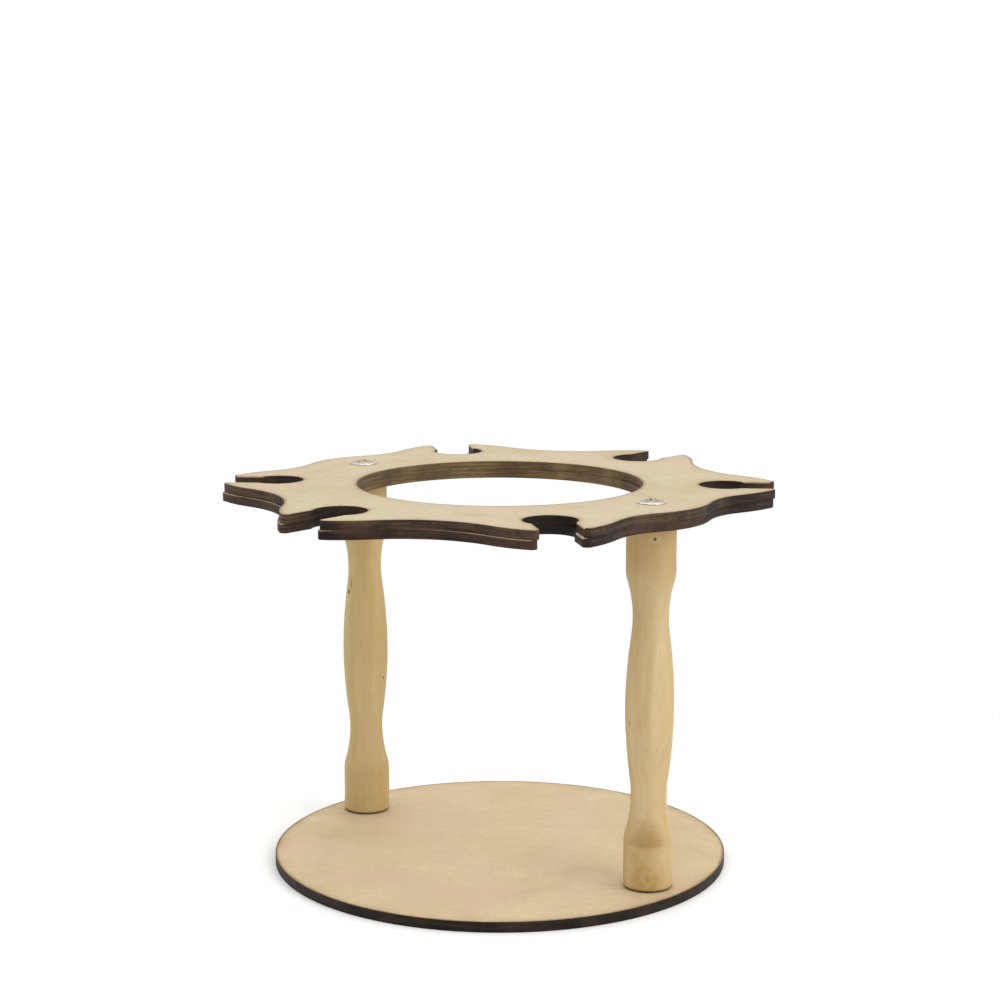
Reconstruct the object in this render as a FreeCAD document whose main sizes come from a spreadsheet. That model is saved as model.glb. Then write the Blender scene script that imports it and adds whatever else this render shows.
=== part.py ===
import FreeCAD, Part
import math
import os
import Sketcher

# Wine bottle and glass holder.
# A thin round base carries two turned posts, and the posts carry a plate of two cut layers.
# The bottle stands on the base through the plate's round hole, and six keyhole slots round
# the plate's edge take the stems of glasses that hang upside down.
# Millimetres, +Z up, origin at the centre of the base's underside, posts on the X axis.

# Driving dimensions: alias, value, what it is.
DIMENSIONS = [
    ("bottle_hole_diameter", "112", "hole that the bottle stands in"),
    ("post_margin", "19", "from the bottle hole's edge to a post's axis"),
    ("base_margin", "15", "from a post's axis to the base's rim"),
    ("base_thickness", "4", "board of the base"),
    ("post_length", "141", "between base and plate"),
    ("post_end_diameter", "18.8", "straight foot and collar of a post"),
    ("post_end_height", "18", "length of the straight foot and collar"),
    ("post_edge", "0.7", "chamfer round the post's ends"),
    ("post_shoulder_radius", "15", "rounding from the straight end into the cove"),
    ("post_neck_diameter", "13.6", "thinnest place of a cove"),
    ("post_neck_height", "36", "from the post's end to its thinnest place"),
    ("post_swell_diameter", "18.4", "thickest place in the middle"),
    ("plate_thickness", "3.5", "board of one plate layer"),
    ("side_slot_angle", "37", "from the post axis to the nearest slot"),
    ("slot_web", "22", "board left between the bottle hole and a slot"),
    ("mouth_width", "16", "way in for a stem"),
    ("mouth_length", "21", "from the middle of a slot's round end to the horns beside its mouth"),
    ("slot_step", "2", "how far the round end reaches past the mouth on each side"),
    ("horn_rounding", "2", "rounding of a horn's tip"),
    ("cusp_rounding", "1.5", "rounding where the mouth meets the round end"),
    ("waist_depth", "11", "how far a plain edge draws in between two slots"),
    ("shoulder_overrun", "1.6", "how far past its horns a plain edge would level out"),
    ("crest_radius", "36", "round curve of the edge in front of a post"),
    ("valley_depth", "6.5", "how far the edge draws in beside the crest"),
    ("valley_radius", "30", "hollow curve beside the crest"),
    ("post_shoulder_rise", "3.8", "how far the edge comes out again towards the horn"),
    ("post_side_radius", "50", "round curve beside the horn on a post's side"),
    ("layer_slip", "0.65", "how far the lower layer has slipped under the upper one"),
    ("slip_direction", "221", "way of the slip, in degrees from the +X axis"),
    ("shank_diameter", "3.5", "all four screws"),
    ("tip_length", "3.5", "point of a screw"),
    ("screw_clearance", "0.1", "all round a shank, in wood and in board"),
    ("pilot_spare", "1", "pilot hole past the screw's point"),
    ("top_screw_length", "30", "under the head"),
    ("top_head_diameter", "10.6", "low round head"),
    ("top_head_height", "2.2", "from the plate to the top of the dome"),
    ("top_head_rim", "0.7", "upright rim under the dome"),
    ("bottom_screw_length", "25", "with its flat head"),
    ("bottom_head_diameter", "8", "countersunk head"),
    ("head_sink", "0.2", "how far the flat heads lie inside the base's underside"),
    ("top_recess_length", "4.8", "cross recess of a round head, end to end"),
    ("bottom_recess_length", "3.8", "cross recess of a flat head, end to end"),
    ("recess_width", "1.1", "one arm of the cross recess"),
    ("recess_depth", "1.3", "cross recess"),
]


class Size:
    """A number together with the text that binds it to the spreadsheet."""

    def __init__(self, number, text):
        self.number = number
        self.text = text

    def join(self, sign, other, number):
        text = other.text if isinstance(other, Size) else repr(other)
        return Size(number, "(" + self.text + " " + sign + " " + text + ")")

    def __add__(self, other):
        return self.join("+", other, self.number + plain(other))

    def __sub__(self, other):
        return self.join("-", other, self.number - plain(other))

    def __mul__(self, other):
        return self.join("*", other, self.number * plain(other))

    def __truediv__(self, other):
        return self.join("/", other, self.number / plain(other))

    def cos(self):
        return Size(math.cos(math.radians(self.number)), "cos(" + self.text + " * 1 deg)")

    def sin(self):
        return Size(math.sin(math.radians(self.number)), "sin(" + self.text + " * 1 deg)")


def plain(value):
    """The number in a Size, or the number itself."""
    return value.number if isinstance(value, Size) else value


class Sizes:
    """Every driving dimension by name, and what follows from them for more than one piece."""

    def __init__(self, document):
        self.sheet = document.addObject("Spreadsheet::Sheet", "sizes")
        for row, (alias, value, note) in enumerate(DIMENSIONS, start=1):
            self.sheet.set("A%d" % row, note)
            self.sheet.set("B%d" % row, value)
            self.sheet.setAlias("B%d" % row, alias)
        document.recompute()
        for alias, value, note in DIMENSIONS:
            setattr(self, alias, Size(float(self.sheet.get(alias)), "sizes." + alias))
        self.post_offset = self.bottle_hole_diameter / 2 + self.post_margin
        self.base_diameter = (self.post_offset + self.base_margin) * 2
        self.post_top = self.base_thickness + self.post_length
        self.hole_diameter = self.shank_diameter + self.screw_clearance * 2
        self.plate_hole_diameter = self.hole_diameter + self.layer_slip * 2
        self.half_mouth = self.mouth_width / 2
        self.round_end = self.half_mouth + self.slot_step
        self.slot_reach = self.bottle_hole_diameter / 2 + self.slot_web + self.round_end
        self.horn_reach = self.slot_reach + self.mouth_length
        self.lobe_angle = (self.side_slot_angle + 90) / 2
        self.lobe_radius = self.plain_edge_radius()

    def plain_edge_radius(self):
        """Radius of the three equal arcs that draw a plain edge in between two slots."""
        half_length = self.horn_reach * self.lobe_angle.cos() - self.half_mouth * self.lobe_angle.sin()
        run = half_length + self.shoulder_overrun
        return (run * run + self.waist_depth * self.waist_depth) / (self.waist_depth * 4)


class Outline:
    """A closed sketch drawn piece by piece, each piece joined to the end of the last."""

    def __init__(self, body, name, role, turn=None, lift=None):
        self.sketch = body.newObject("Sketcher::SketchObject", name)
        self.sketch.AttachmentSupport = [(origin_plane(body, role), "")]
        self.sketch.MapMode = "FlatFace"
        if turn is not None:
            spin = FreeCAD.Rotation(FreeCAD.Vector(0, 0, 1), turn.number)
            self.sketch.AttachmentOffset = FreeCAD.Placement(FreeCAD.Vector(), spin)
            self.sketch.setExpression("AttachmentOffset.Rotation.Angle", turn.text)
        if lift is not None:
            raised = FreeCAD.Vector(0, 0, lift.number)
            self.sketch.AttachmentOffset = FreeCAD.Placement(raised, FreeCAD.Rotation())
            self.sketch.setExpression("AttachmentOffset.Base.z", lift.text)
        self.tail = None
        self.head = None
        self.last = None
        self.place = None

    def start(self, x, y):
        self.place = (plain(x), plain(y))

    def line(self, x, y, tangent=False):
        """A straight piece to the point (x, y)."""
        end = (plain(x), plain(y))
        piece = Part.LineSegment(FreeCAD.Vector(*self.place, 0), FreeCAD.Vector(*end, 0))
        self.add(piece, 1, 2, end, tangent)

    def arc(self, centre, end, left, tangent=True):
        """A round piece about a centre to the given end, turning left or right on its way."""
        cx, cy = plain(centre[0]), plain(centre[1])
        end = (plain(end[0]), plain(end[1]))
        radius = math.hypot(end[0] - cx, end[1] - cy)
        circle = Part.Circle(FreeCAD.Vector(cx, cy, 0), FreeCAD.Vector(0, 0, 1), radius)
        first = math.atan2(self.place[1] - cy, self.place[0] - cx)
        final = math.atan2(end[1] - cy, end[0] - cx)
        if not left:
            first, final = final, first
        if final <= first:
            final += 2 * math.pi
        piece = Part.ArcOfCircle(circle, first, final)
        self.add(piece, 1 if left else 2, 2 if left else 1, end, tangent)

    def add(self, piece, begin, finish, end, tangent):
        self.last = self.sketch.addGeometry(piece, False)
        if self.tail is None:
            self.head = (self.last, begin)
        else:
            kind = "Tangent" if tangent else "Coincident"
            self.relate(kind, *self.tail, self.last, begin)
        self.tail = (self.last, finish)
        self.place = end

    def close(self, tangent=False):
        self.relate("Tangent" if tangent else "Coincident", *self.tail, *self.head)

    def relate(self, kind, *where):
        self.sketch.addConstraint(Sketcher.Constraint(kind, *where))

    def measure(self, kind, where, size):
        """A dimension that the spreadsheet drives."""
        index = self.sketch.addConstraint(Sketcher.Constraint(kind, *where, size.number))
        name = "%s_%d" % (kind.lower(), index)
        self.sketch.renameConstraint(index, name)
        self.sketch.setExpression("Constraints." + name, size.text)

    def pin(self, x=None, y=None, point=None):
        """Fix the end of the last piece, or another point, across and up from the origin."""
        where = point or self.tail
        if x is not None:
            self.measure("DistanceX", where, x)
        if y is not None:
            self.measure("DistanceY", where, y)

    def pin_centre(self, x=None, y=None):
        self.pin(x, y, (self.last, 3))

    def radius(self, size):
        self.measure("Radius", (self.last,), size)

    def on_x_axis(self, point=None):
        self.relate("PointOnObject", *(point or self.tail), -1)

    def on_y_axis(self, point=None):
        self.relate("PointOnObject", *(point or self.tail), -2)


def origin_plane(body, role):
    return next(part for part in body.Origin.OriginFeatures if part.Role == role)


def ogee_run(radii, rise):
    """How far two arcs that meet smoothly run while they rise, both ends level."""
    return math.sqrt(2 * radii * rise - rise * rise)


def between(first, second, share):
    """The point at a share of the way from one point to another."""
    return tuple(a + (b - a) * share for a, b in zip(first, second))


def pad(body, sketch, height):
    feature = body.newObject("PartDesign::Pad", sketch.Name + "_pad")
    feature.Profile = sketch
    feature.setExpression("Length", height.text)
    return feature


def cut_up(body, sketch):
    """Cut a sketch on the underside right through the body."""
    feature = body.newObject("PartDesign::Pocket", sketch.Name + "_cut")
    feature.Profile = sketch
    feature.Type = "ThroughAll"
    feature.Reversed = True
    return feature


def revolve(body, sketch, name, kind="Revolution"):
    feature = body.newObject("PartDesign::" + kind, name)
    feature.Profile = sketch
    feature.ReferenceAxis = (sketch, ["V_Axis"])
    feature.Angle = 360
    return feature


def mirror(body, feature, *roles):
    """Repeat a feature across one or two of the body's upright planes."""
    repeat = body.newObject("PartDesign::MultiTransform", feature.Name + "_repeat")
    repeat.Originals = [feature]
    steps = []
    for role in roles:
        step = body.newObject("PartDesign::Mirrored", feature.Name + "_" + role)
        step.MirrorPlane = (origin_plane(body, role), [""])
        steps.append(step)
    repeat.Transformations = steps
    body.Tip = repeat
    return repeat


def circle_sketch(body, name, diameter, offset=None):
    outline = Outline(body, name, "XY_Plane")
    centre = FreeCAD.Vector(plain(offset) if offset else 0, 0, 0)
    circle = Part.Circle(centre, FreeCAD.Vector(0, 0, 1), diameter.number / 2)
    index = outline.sketch.addGeometry(circle, False)
    outline.measure("Diameter", (index,), diameter)
    if offset is None:
        outline.relate("Coincident", index, 3, -1, 1)
    else:
        outline.on_x_axis((index, 3))
        outline.pin(x=offset, point=(index, 3))
    return outline.sketch


def base_disc(document, sizes):
    """The round base, with a countersunk screw seat under each post."""
    body = document.addObject("PartDesign::Body", "base_disc")
    pad(body, circle_sketch(body, "base_outline", sizes.base_diameter), sizes.base_thickness)
    document.recompute()
    seat = revolve(body, seat_sketch(body, sizes), "screw_seat", "Groove")
    seat.ReferenceAxis = (seat.Profile[0], ["Axis0"])
    document.recompute()
    mirror(body, seat, "YZ_Plane")
    return body


def seat_sketch(body, sizes):
    """Half the section of a screw seat, on the post's axis."""
    axis = sizes.post_offset
    shank = axis + sizes.hole_diameter / 2
    head = axis + sizes.bottom_head_diameter / 2 + sizes.screw_clearance
    cone = sizes.head_sink + (sizes.bottom_head_diameter - sizes.shank_diameter) / 2
    outline = Outline(body, "seat_section", "XZ_Plane")
    outline.start(axis, 0)
    outline.line(head, 0)
    outline.on_x_axis((outline.last, 1))
    outline.pin(x=axis, point=(outline.last, 1))
    outline.on_x_axis()
    outline.pin(x=head)
    outline.line(head, sizes.head_sink)
    outline.pin(x=head, y=sizes.head_sink)
    outline.line(shank, cone)
    outline.pin(x=shank, y=cone)
    outline.line(shank, sizes.base_thickness)
    outline.pin(x=shank, y=sizes.base_thickness)
    outline.line(axis, sizes.base_thickness)
    outline.pin(x=axis, y=sizes.base_thickness)
    outline.line(axis, 0)
    outline.close()
    centre_line = Part.LineSegment(FreeCAD.Vector(axis.number, 0, 0),
                                   FreeCAD.Vector(axis.number, sizes.base_thickness.number, 0))
    index = outline.sketch.addGeometry(centre_line, True)
    outline.relate("Coincident", index, 1, 0, 1)
    outline.relate("Coincident", index, 2, 4, 2)
    return outline.sketch


def post(document, sizes, label, side):
    """A turned post: straight foot, cove, swell, cove and straight collar, drilled at both ends."""
    body = document.addObject("PartDesign::Body", label)
    revolve(body, post_sketch(body, sizes), label + "_turned")
    place(body, x=sizes.post_offset * side, z=sizes.base_thickness)
    return body


def post_sketch(body, sizes):
    """Half the section of a post, from its foot up."""
    length = sizes.post_length
    end = sizes.post_end_diameter / 2
    neck = sizes.post_neck_diameter / 2
    swell = sizes.post_swell_diameter / 2
    pilot = sizes.hole_diameter / 2
    low = sizes.bottom_screw_length + sizes.head_sink + sizes.pilot_spare - sizes.base_thickness
    high = (length + sizes.plate_thickness * 2 - sizes.top_screw_length - sizes.pilot_spare)
    drop = end.number - neck.number
    rise = sizes.post_neck_height.number - sizes.post_end_height.number
    shoulder = sizes.post_shoulder_radius.number
    cove = (rise * rise + drop * drop) / (2 * drop) - shoulder
    belly = swell.number - neck.number
    half = length.number / 2 - sizes.post_neck_height.number
    bulge = (half * half + belly * belly) / (2 * belly) - cove
    centres = [
        (end.number - shoulder, sizes.post_end_height.number),
        (neck.number + cove, sizes.post_neck_height.number),
        (swell.number - bulge, length.number / 2),
        (neck.number + cove, length.number - sizes.post_neck_height.number),
        (end.number - shoulder, length.number - sizes.post_end_height.number),
    ]
    joints = [
        between(centres[0], centres[1], shoulder / (shoulder + cove)),
        between(centres[1], centres[2], cove / (cove + bulge)),
        between(centres[3], centres[2], cove / (cove + bulge)),
        between(centres[4], centres[3], shoulder / (shoulder + cove)),
    ]
    outline = Outline(body, body.Name + "_section", "XZ_Plane")
    outline.start(pilot, 0)
    outline.line(end - sizes.post_edge, 0)
    outline.on_x_axis((outline.last, 1))
    outline.pin(x=pilot, point=(outline.last, 1))
    outline.on_x_axis()
    outline.pin(x=end - sizes.post_edge)
    outline.line(end, sizes.post_edge)
    outline.pin(x=end, y=sizes.post_edge)
    outline.line(end, sizes.post_end_height)
    outline.relate("Vertical", outline.last)
    outline.arc(centres[0], joints[0], left=True)
    outline.pin_centre(y=sizes.post_end_height)
    outline.radius(sizes.post_shoulder_radius)
    outline.arc(centres[1], joints[1], left=False)
    lower_cove = outline.last
    outline.pin_centre(y=sizes.post_neck_height)
    outline.arc(centres[2], joints[2], left=True)
    outline.pin_centre(y=length / 2)
    outline.arc(centres[3], joints[3], left=False)
    outline.pin_centre(y=length - sizes.post_neck_height)
    outline.relate("Equal", lower_cove, outline.last)
    outline.arc(centres[4], (end.number, centres[4][1]), left=True)
    outline.pin_centre(y=length - sizes.post_end_height)
    outline.radius(sizes.post_shoulder_radius)
    outline.line(end, length - sizes.post_edge, tangent=True)
    outline.pin(x=end, y=length - sizes.post_edge)
    outline.line(end - sizes.post_edge, length)
    outline.pin(x=end - sizes.post_edge, y=length)
    outline.line(pilot, length)
    outline.pin(x=pilot, y=length)
    outline.line(pilot, high)
    outline.pin(x=pilot, y=high)
    outline.line(0, high)
    outline.on_y_axis()
    outline.pin(y=high)
    outline.line(0, low)
    outline.on_y_axis()
    outline.pin(y=low)
    outline.line(pilot, low)
    outline.pin(x=pilot, y=low)
    outline.line(pilot, 0)
    outline.close()
    gauge(outline, lower_cove, centres[1], neck)
    gauge(outline, lower_cove + 1, centres[2], swell)
    return outline.sketch


def gauge(outline, arc, centre, across):
    """Hold an arc at its thinnest or thickest place to a radius from the post's axis."""
    mark = Part.Point(FreeCAD.Vector(across.number, centre[1], 0))
    index = outline.sketch.addGeometry(mark, True)
    outline.relate("PointOnObject", index, 1, arc)
    outline.relate("Horizontal", index, 1, arc, 3)
    outline.pin(x=across, point=(index, 1))


def carrier_plate(document, sizes, label):
    """One layer of the plate: outline, bottle hole, six keyhole slots and two screw holes."""
    body = document.addObject("PartDesign::Body", label)
    quarter = pad(body, quarter_sketch(body, sizes, label + "_quarter"), sizes.plate_thickness)
    document.recompute()
    mirror(body, quarter, "XZ_Plane", "YZ_Plane")
    document.recompute()
    cut_up(body, circle_sketch(body, label + "_bottle", sizes.bottle_hole_diameter))
    document.recompute()
    side = cut_up(body, slot_sketch(body, sizes, label + "_side_slot", sizes.side_slot_angle))
    document.recompute()
    mirror(body, side, "XZ_Plane", "YZ_Plane")
    document.recompute()
    right_angle = Size(90.0, "90")
    middle = cut_up(body, slot_sketch(body, sizes, label + "_middle_slot", right_angle))
    document.recompute()
    mirror(body, middle, "XZ_Plane")
    document.recompute()
    hole = circle_sketch(body, label + "_screw", sizes.plate_hole_diameter, sizes.post_offset)
    screw = cut_up(body, hole)
    document.recompute()
    mirror(body, screw, "YZ_Plane")
    document.recompute()
    round_corners(document, body, sizes, label)
    return body


def round_corners(document, body, sizes, label):
    """Round the horns' tips and the cusps between the mouths and the slots' round ends."""
    for name, size, pick in (("horns", sizes.horn_rounding, max), ("cusps", sizes.cusp_rounding, min)):
        before = body.Tip
        edges = slot_corners(before.Shape, sizes, pick)
        if len(edges) != 12:
            raise ValueError("%s: %d %s found" % (label, len(edges), name))
        feature = body.newObject("PartDesign::Fillet", label + "_" + name)
        feature.Base = (before, edges)
        feature.setExpression("Radius", size.text)
        document.recompute()


def slot_corners(shape, sizes, pick):
    """Names of the upright edges furthest out or furthest in, one on each side of each mouth."""
    side = sizes.side_slot_angle.number
    found = {}
    for index, edge in enumerate(shape.Edges, start=1):
        start, end = edge.Vertexes[0].Point, edge.Vertexes[-1].Point
        if math.hypot(start.x - end.x, start.y - end.y) > 0.01:
            continue
        for angle in (side, 90, 180 - side, 180 + side, 270, 360 - side):
            way = (math.cos(math.radians(angle)), math.sin(math.radians(angle)))
            along = start.x * way[0] + start.y * way[1]
            across = start.y * way[0] - start.x * way[1]
            if along > sizes.slot_reach.number and abs(abs(across) - sizes.half_mouth.number) < 0.01:
                found.setdefault((angle, across > 0), []).append((along, "Edge%d" % index))
    return sorted(pick(edges)[1] for edges in found.values())


def quarter_sketch(body, sizes, name):
    """A quarter of the plate's outline, from the post's axis round to the middle slot."""
    slot_angle = sizes.side_slot_angle
    post_side = sizes.horn_reach * slot_angle.cos() + sizes.half_mouth * slot_angle.sin()
    valley = post_side - sizes.post_shoulder_rise
    crest = valley + sizes.valley_depth
    lobe_side = sizes.half_mouth * sizes.lobe_angle.cos() + sizes.horn_reach * sizes.lobe_angle.sin()
    waist = lobe_side - sizes.waist_depth
    rounds = post_lobe_centres(sizes, crest.number, valley.number, post_side.number)
    hollows = plain_lobe_centres(sizes, waist.number, lobe_side.number)
    first_joint = between(rounds[0], rounds[1], share_of(sizes.crest_radius, sizes.valley_radius))
    second_joint = between(rounds[2], rounds[1], share_of(sizes.post_side_radius, sizes.valley_radius))
    third_joint = between(hollows[0], hollows[1], 0.5)
    fourth_joint = between(hollows[2], hollows[1], 0.5)
    corner = (post_side.number,
              (lobe_side.number - post_side.number * sizes.lobe_angle.cos().number)
              / sizes.lobe_angle.sin().number)
    way = (sizes.lobe_angle.cos().number, sizes.lobe_angle.sin().number)
    reach = sizes.lobe_radius.number
    outline = Outline(body, name, "XY_Plane")
    outline.start(0, 0)
    outline.line(crest, 0)
    outline.relate("Coincident", 0, 1, -1, 1)
    outline.on_x_axis()
    outline.pin(x=crest)
    outline.arc(rounds[0], first_joint, left=True, tangent=False)
    outline.on_x_axis((outline.last, 3))
    outline.radius(sizes.crest_radius)
    outline.arc(rounds[1], second_joint, left=False)
    outline.radius(sizes.valley_radius)
    outline.pin_centre(x=valley + sizes.valley_radius)
    outline.arc(rounds[2], (post_side.number, rounds[2][1]), left=True)
    outline.radius(sizes.post_side_radius)
    outline.line(*corner, tangent=True)
    outline.relate("Vertical", outline.last)
    outline.pin(x=post_side)
    outline.line(hollows[0][0] + reach * way[0], hollows[0][1] + reach * way[1])
    near_side = outline.last
    outline.arc(hollows[0], third_joint, left=True)
    outline.radius(sizes.lobe_radius)
    outline.arc(hollows[1], fourth_joint, left=False)
    outline.radius(sizes.lobe_radius)
    waist_arc = outline.last
    outline.arc(hollows[2], (hollows[2][0] + reach * way[0], hollows[2][1] + reach * way[1]), left=True)
    outline.radius(sizes.lobe_radius)
    outline.line(0, lobe_side.number / way[1], tangent=True)
    outline.on_y_axis()
    far_side = outline.last
    outline.relate("Parallel", near_side, far_side)
    outline.line(0, 0)
    outline.close()
    middle = Part.LineSegment(FreeCAD.Vector(), FreeCAD.Vector(lobe_side.number * way[0],
                                                               lobe_side.number * way[1], 0))
    index = outline.sketch.addGeometry(middle, True)
    outline.relate("Coincident", index, 1, -1, 1)
    outline.relate("PointOnObject", index, 2, near_side)
    outline.relate("PointOnObject", index, 2, far_side)
    outline.relate("Perpendicular", index, near_side)
    outline.measure("Angle", (-1, 1, index, 1), Size(math.radians(sizes.lobe_angle.number),
                                                    "(" + sizes.lobe_angle.text + ") * 1 deg"))
    outline.measure("Distance", (index,), lobe_side)
    outline.relate("PointOnObject", waist_arc, 3, index)
    outline.measure("Distance", (waist_arc, 3, -1, 1), waist + sizes.lobe_radius)
    return outline.sketch


def share_of(first, second):
    return first.number / (first.number + second.number)


def post_lobe_centres(sizes, crest, valley, side):
    """Centres of the round crest, the hollow beside it and the round edge beside the horn."""
    crest_radius = sizes.crest_radius.number
    valley_radius = sizes.valley_radius.number
    side_radius = sizes.post_side_radius.number
    hollow = ogee_run(crest_radius + valley_radius, crest - valley)
    outer = hollow + ogee_run(valley_radius + side_radius, side - valley)
    return [(crest - crest_radius, 0.0), (valley + valley_radius, hollow), (side - side_radius, outer)]


def plain_lobe_centres(sizes, waist, side):
    """Centres of the round, hollow and round stretches of an edge between two plain slots."""
    radius = sizes.lobe_radius.number
    run = ogee_run(radius * 2, side - waist)
    along = (sizes.lobe_angle.cos().number, sizes.lobe_angle.sin().number)
    across = (-along[1], along[0])
    places = ((side - radius, -run), (waist + radius, 0.0), (side - radius, run))
    return [(out * along[0] + over * across[0], out * along[1] + over * across[1])
            for out, over in places]


def slot_sketch(body, sizes, name, turn):
    """A keyhole slot that opens outwards, drawn along one line and turned to its place."""
    half = sizes.half_mouth
    round_end = sizes.round_end
    neck = math.sqrt(round_end.number ** 2 - half.number ** 2) + sizes.slot_reach.number
    outside = sizes.horn_reach + sizes.mouth_width
    outline = Outline(body, name, "XY_Plane", turn=turn)
    outline.start(outside, half)
    outline.line(neck, half)
    outline.pin(x=outside, y=half, point=(outline.last, 1))
    outline.relate("Horizontal", outline.last)
    outline.arc((sizes.slot_reach, 0), (neck, -half.number), left=True, tangent=False)
    outline.on_x_axis((outline.last, 3))
    outline.pin_centre(x=sizes.slot_reach)
    outline.radius(round_end)
    outline.relate("Symmetric", outline.last, 1, outline.last, 2, -1)
    outline.line(outside, -half.number)
    outline.relate("Horizontal", outline.last)
    outline.line(outside, half)
    outline.close()
    outline.relate("Vertical", outline.last)
    return outline.sketch


def screw(document, sizes, label, length, cross, head_points):
    """A wood screw, point down: cone, shank, turned head and a cross recess."""
    body = document.addObject("PartDesign::Body", label)
    shank = sizes.shank_diameter / 2
    outline = Outline(body, label + "_section", "XZ_Plane")
    outline.start(0, 0)
    outline.line(shank, sizes.tip_length)
    outline.relate("Coincident", 0, 1, -1, 1)
    outline.pin(x=shank, y=sizes.tip_length)
    top = head_points(outline, sizes, shank, length)
    outline.line(0, 0)
    outline.close()
    revolve(body, outline.sketch, label + "_turned")
    document.recompute()
    recess(document, body, sizes, label, top, cross)
    return body


def round_head(outline, sizes, shank, length):
    """A low dome on an upright rim."""
    head = sizes.top_head_diameter / 2
    top = length + sizes.top_head_height
    rim = length + sizes.top_head_rim
    outline.line(shank, length)
    outline.pin(x=shank, y=length)
    outline.line(head, length)
    outline.pin(x=head, y=length)
    outline.line(head, rim)
    outline.pin(x=head, y=rim)
    dome = top.number - rim.number
    radius = (head.number ** 2 + dome ** 2) / (2 * dome)
    outline.arc((0, top.number - radius), (0, top), left=True, tangent=False)
    outline.on_y_axis((outline.last, 3))
    outline.on_y_axis()
    outline.pin(y=top)
    return top


def flat_head(outline, sizes, shank, length):
    """A countersunk cone under a flat top."""
    head = sizes.bottom_head_diameter / 2
    under = length - (sizes.bottom_head_diameter - sizes.shank_diameter) / 2
    outline.line(shank, under)
    outline.pin(x=shank, y=under)
    outline.line(head, length)
    outline.pin(x=head, y=length)
    outline.line(0, length)
    outline.on_y_axis()
    outline.pin(y=length)
    return length


def recess(document, body, sizes, label, top, length):
    """A cross recess: one slot across the head, repeated at a right angle."""
    outline = Outline(body, label + "_arm", "XY_Plane", lift=top)
    across = length / 2
    along = sizes.recess_width / 2
    outline.start(-across.number, -along.number)
    outline.line(across, -along.number)
    outline.relate("Horizontal", 0)
    outline.line(across, along)
    outline.relate("Vertical", 1)
    outline.line(-across.number, along)
    outline.relate("Horizontal", 2)
    outline.line(-across.number, -along.number)
    outline.close()
    outline.relate("Vertical", 3)
    outline.relate("Symmetric", 0, 1, 1, 2, -1, 1)
    outline.measure("Distance", (0,), length)
    outline.measure("Distance", (1,), sizes.recess_width)
    arm = body.newObject("PartDesign::Pocket", label + "_arm_cut")
    arm.Profile = outline.sketch
    arm.setExpression("Length", sizes.recess_depth.text)
    document.recompute()
    cross = body.newObject("PartDesign::PolarPattern", label + "_cross")
    cross.Originals = [arm]
    cross.Axis = (outline.sketch, ["N_Axis"])
    cross.Angle = 90
    cross.Occurrences = 2
    body.Tip = cross


def place(body, x=None, y=None, z=None, flip=False):
    """Put a body where the sheet says, upside down if asked."""
    turn = FreeCAD.Rotation(FreeCAD.Vector(1, 0, 0), 180 if flip else 0)
    body.Placement = FreeCAD.Placement(FreeCAD.Vector(), turn)
    for axis, size in (("x", x), ("y", y), ("z", z)):
        if size is not None:
            body.setExpression("Placement.Base." + axis, size.text)


def stacked_plates(document, sizes):
    """Two equal layers, the lower one slipped a little on its screws."""
    lower = carrier_plate(document, sizes, "plate_lower")
    slip_x = sizes.layer_slip * sizes.slip_direction.cos()
    slip_y = sizes.layer_slip * sizes.slip_direction.sin()
    place(lower, x=slip_x, y=slip_y, z=sizes.post_top)
    upper = carrier_plate(document, sizes, "plate_upper")
    place(upper, z=sizes.post_top + sizes.plate_thickness)
    return [lower, upper]


def screws(document, sizes):
    """A round-headed screw down into each post and a flat-headed one up into it."""
    bodies = []
    for name, side in (("right", 1), ("left", -1)):
        long = sizes.top_screw_length
        top = screw(document, sizes, "top_screw_" + name, long, sizes.top_recess_length, round_head)
        under_head = sizes.post_top + sizes.plate_thickness * 2
        place(top, x=sizes.post_offset * side, z=under_head - long)
        short = sizes.bottom_screw_length
        bottom = screw(document, sizes, "bottom_screw_" + name, short, sizes.bottom_recess_length, flat_head)
        place(bottom, x=sizes.post_offset * side, z=sizes.head_sink + short, flip=True)
        bodies += [top, bottom]
    return bodies


def check(document, bodies):
    """Stop if a feature failed, a sketch is loose or a cut took nothing away."""
    for thing in document.Objects:
        if "Invalid" in thing.State or "Error" in thing.State:
            raise RuntimeError(thing.Name + ": " + ", ".join(thing.State))
        if thing.TypeId == "Sketcher::SketchObject" and not thing.FullyConstrained:
            raise RuntimeError(thing.Name + " isn't fully constrained")
        if thing.TypeId in ("PartDesign::Pocket", "PartDesign::Groove"):
            if thing.Shape.Volume >= thing.BaseFeature.Shape.Volume - 0.01:
                raise RuntimeError(thing.Name + " cuts nothing")
    for body in bodies:
        if body.Shape.isNull() or not body.Shape.isValid() or len(body.Shape.Solids) != 1:
            raise RuntimeError(body.Label + " isn't one sound solid")


def main():
    document = FreeCAD.newDocument("holder")
    sizes = Sizes(document)
    bodies = [base_disc(document, sizes)]
    bodies += [post(document, sizes, "post_right", 1), post(document, sizes, "post_left", -1)]
    bodies += stacked_plates(document, sizes)
    bodies += screws(document, sizes)
    document.recompute()
    check(document, bodies)
    os.makedirs("parts", exist_ok=True)
    for body in bodies:
        body.Label = body.Name
        body.Shape.exportStep(os.path.join("parts", body.Label + ".step"))


main()
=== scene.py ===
"""Looks of a wine bottle and glass holder: cut boards, turned posts and plated screws.

Each piece is built here with rounded edges and its own finish, at the place of the plain solid
that it stands for. Lengths are in metres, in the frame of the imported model: +Z up, the origin
at the centre of the base's underside and both posts on the X axis.
"""
import logging
import math
from dataclasses import dataclass, replace
from enum import Enum
from typing import Callable, Dict, List, Optional, Sequence, Tuple, Union

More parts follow.
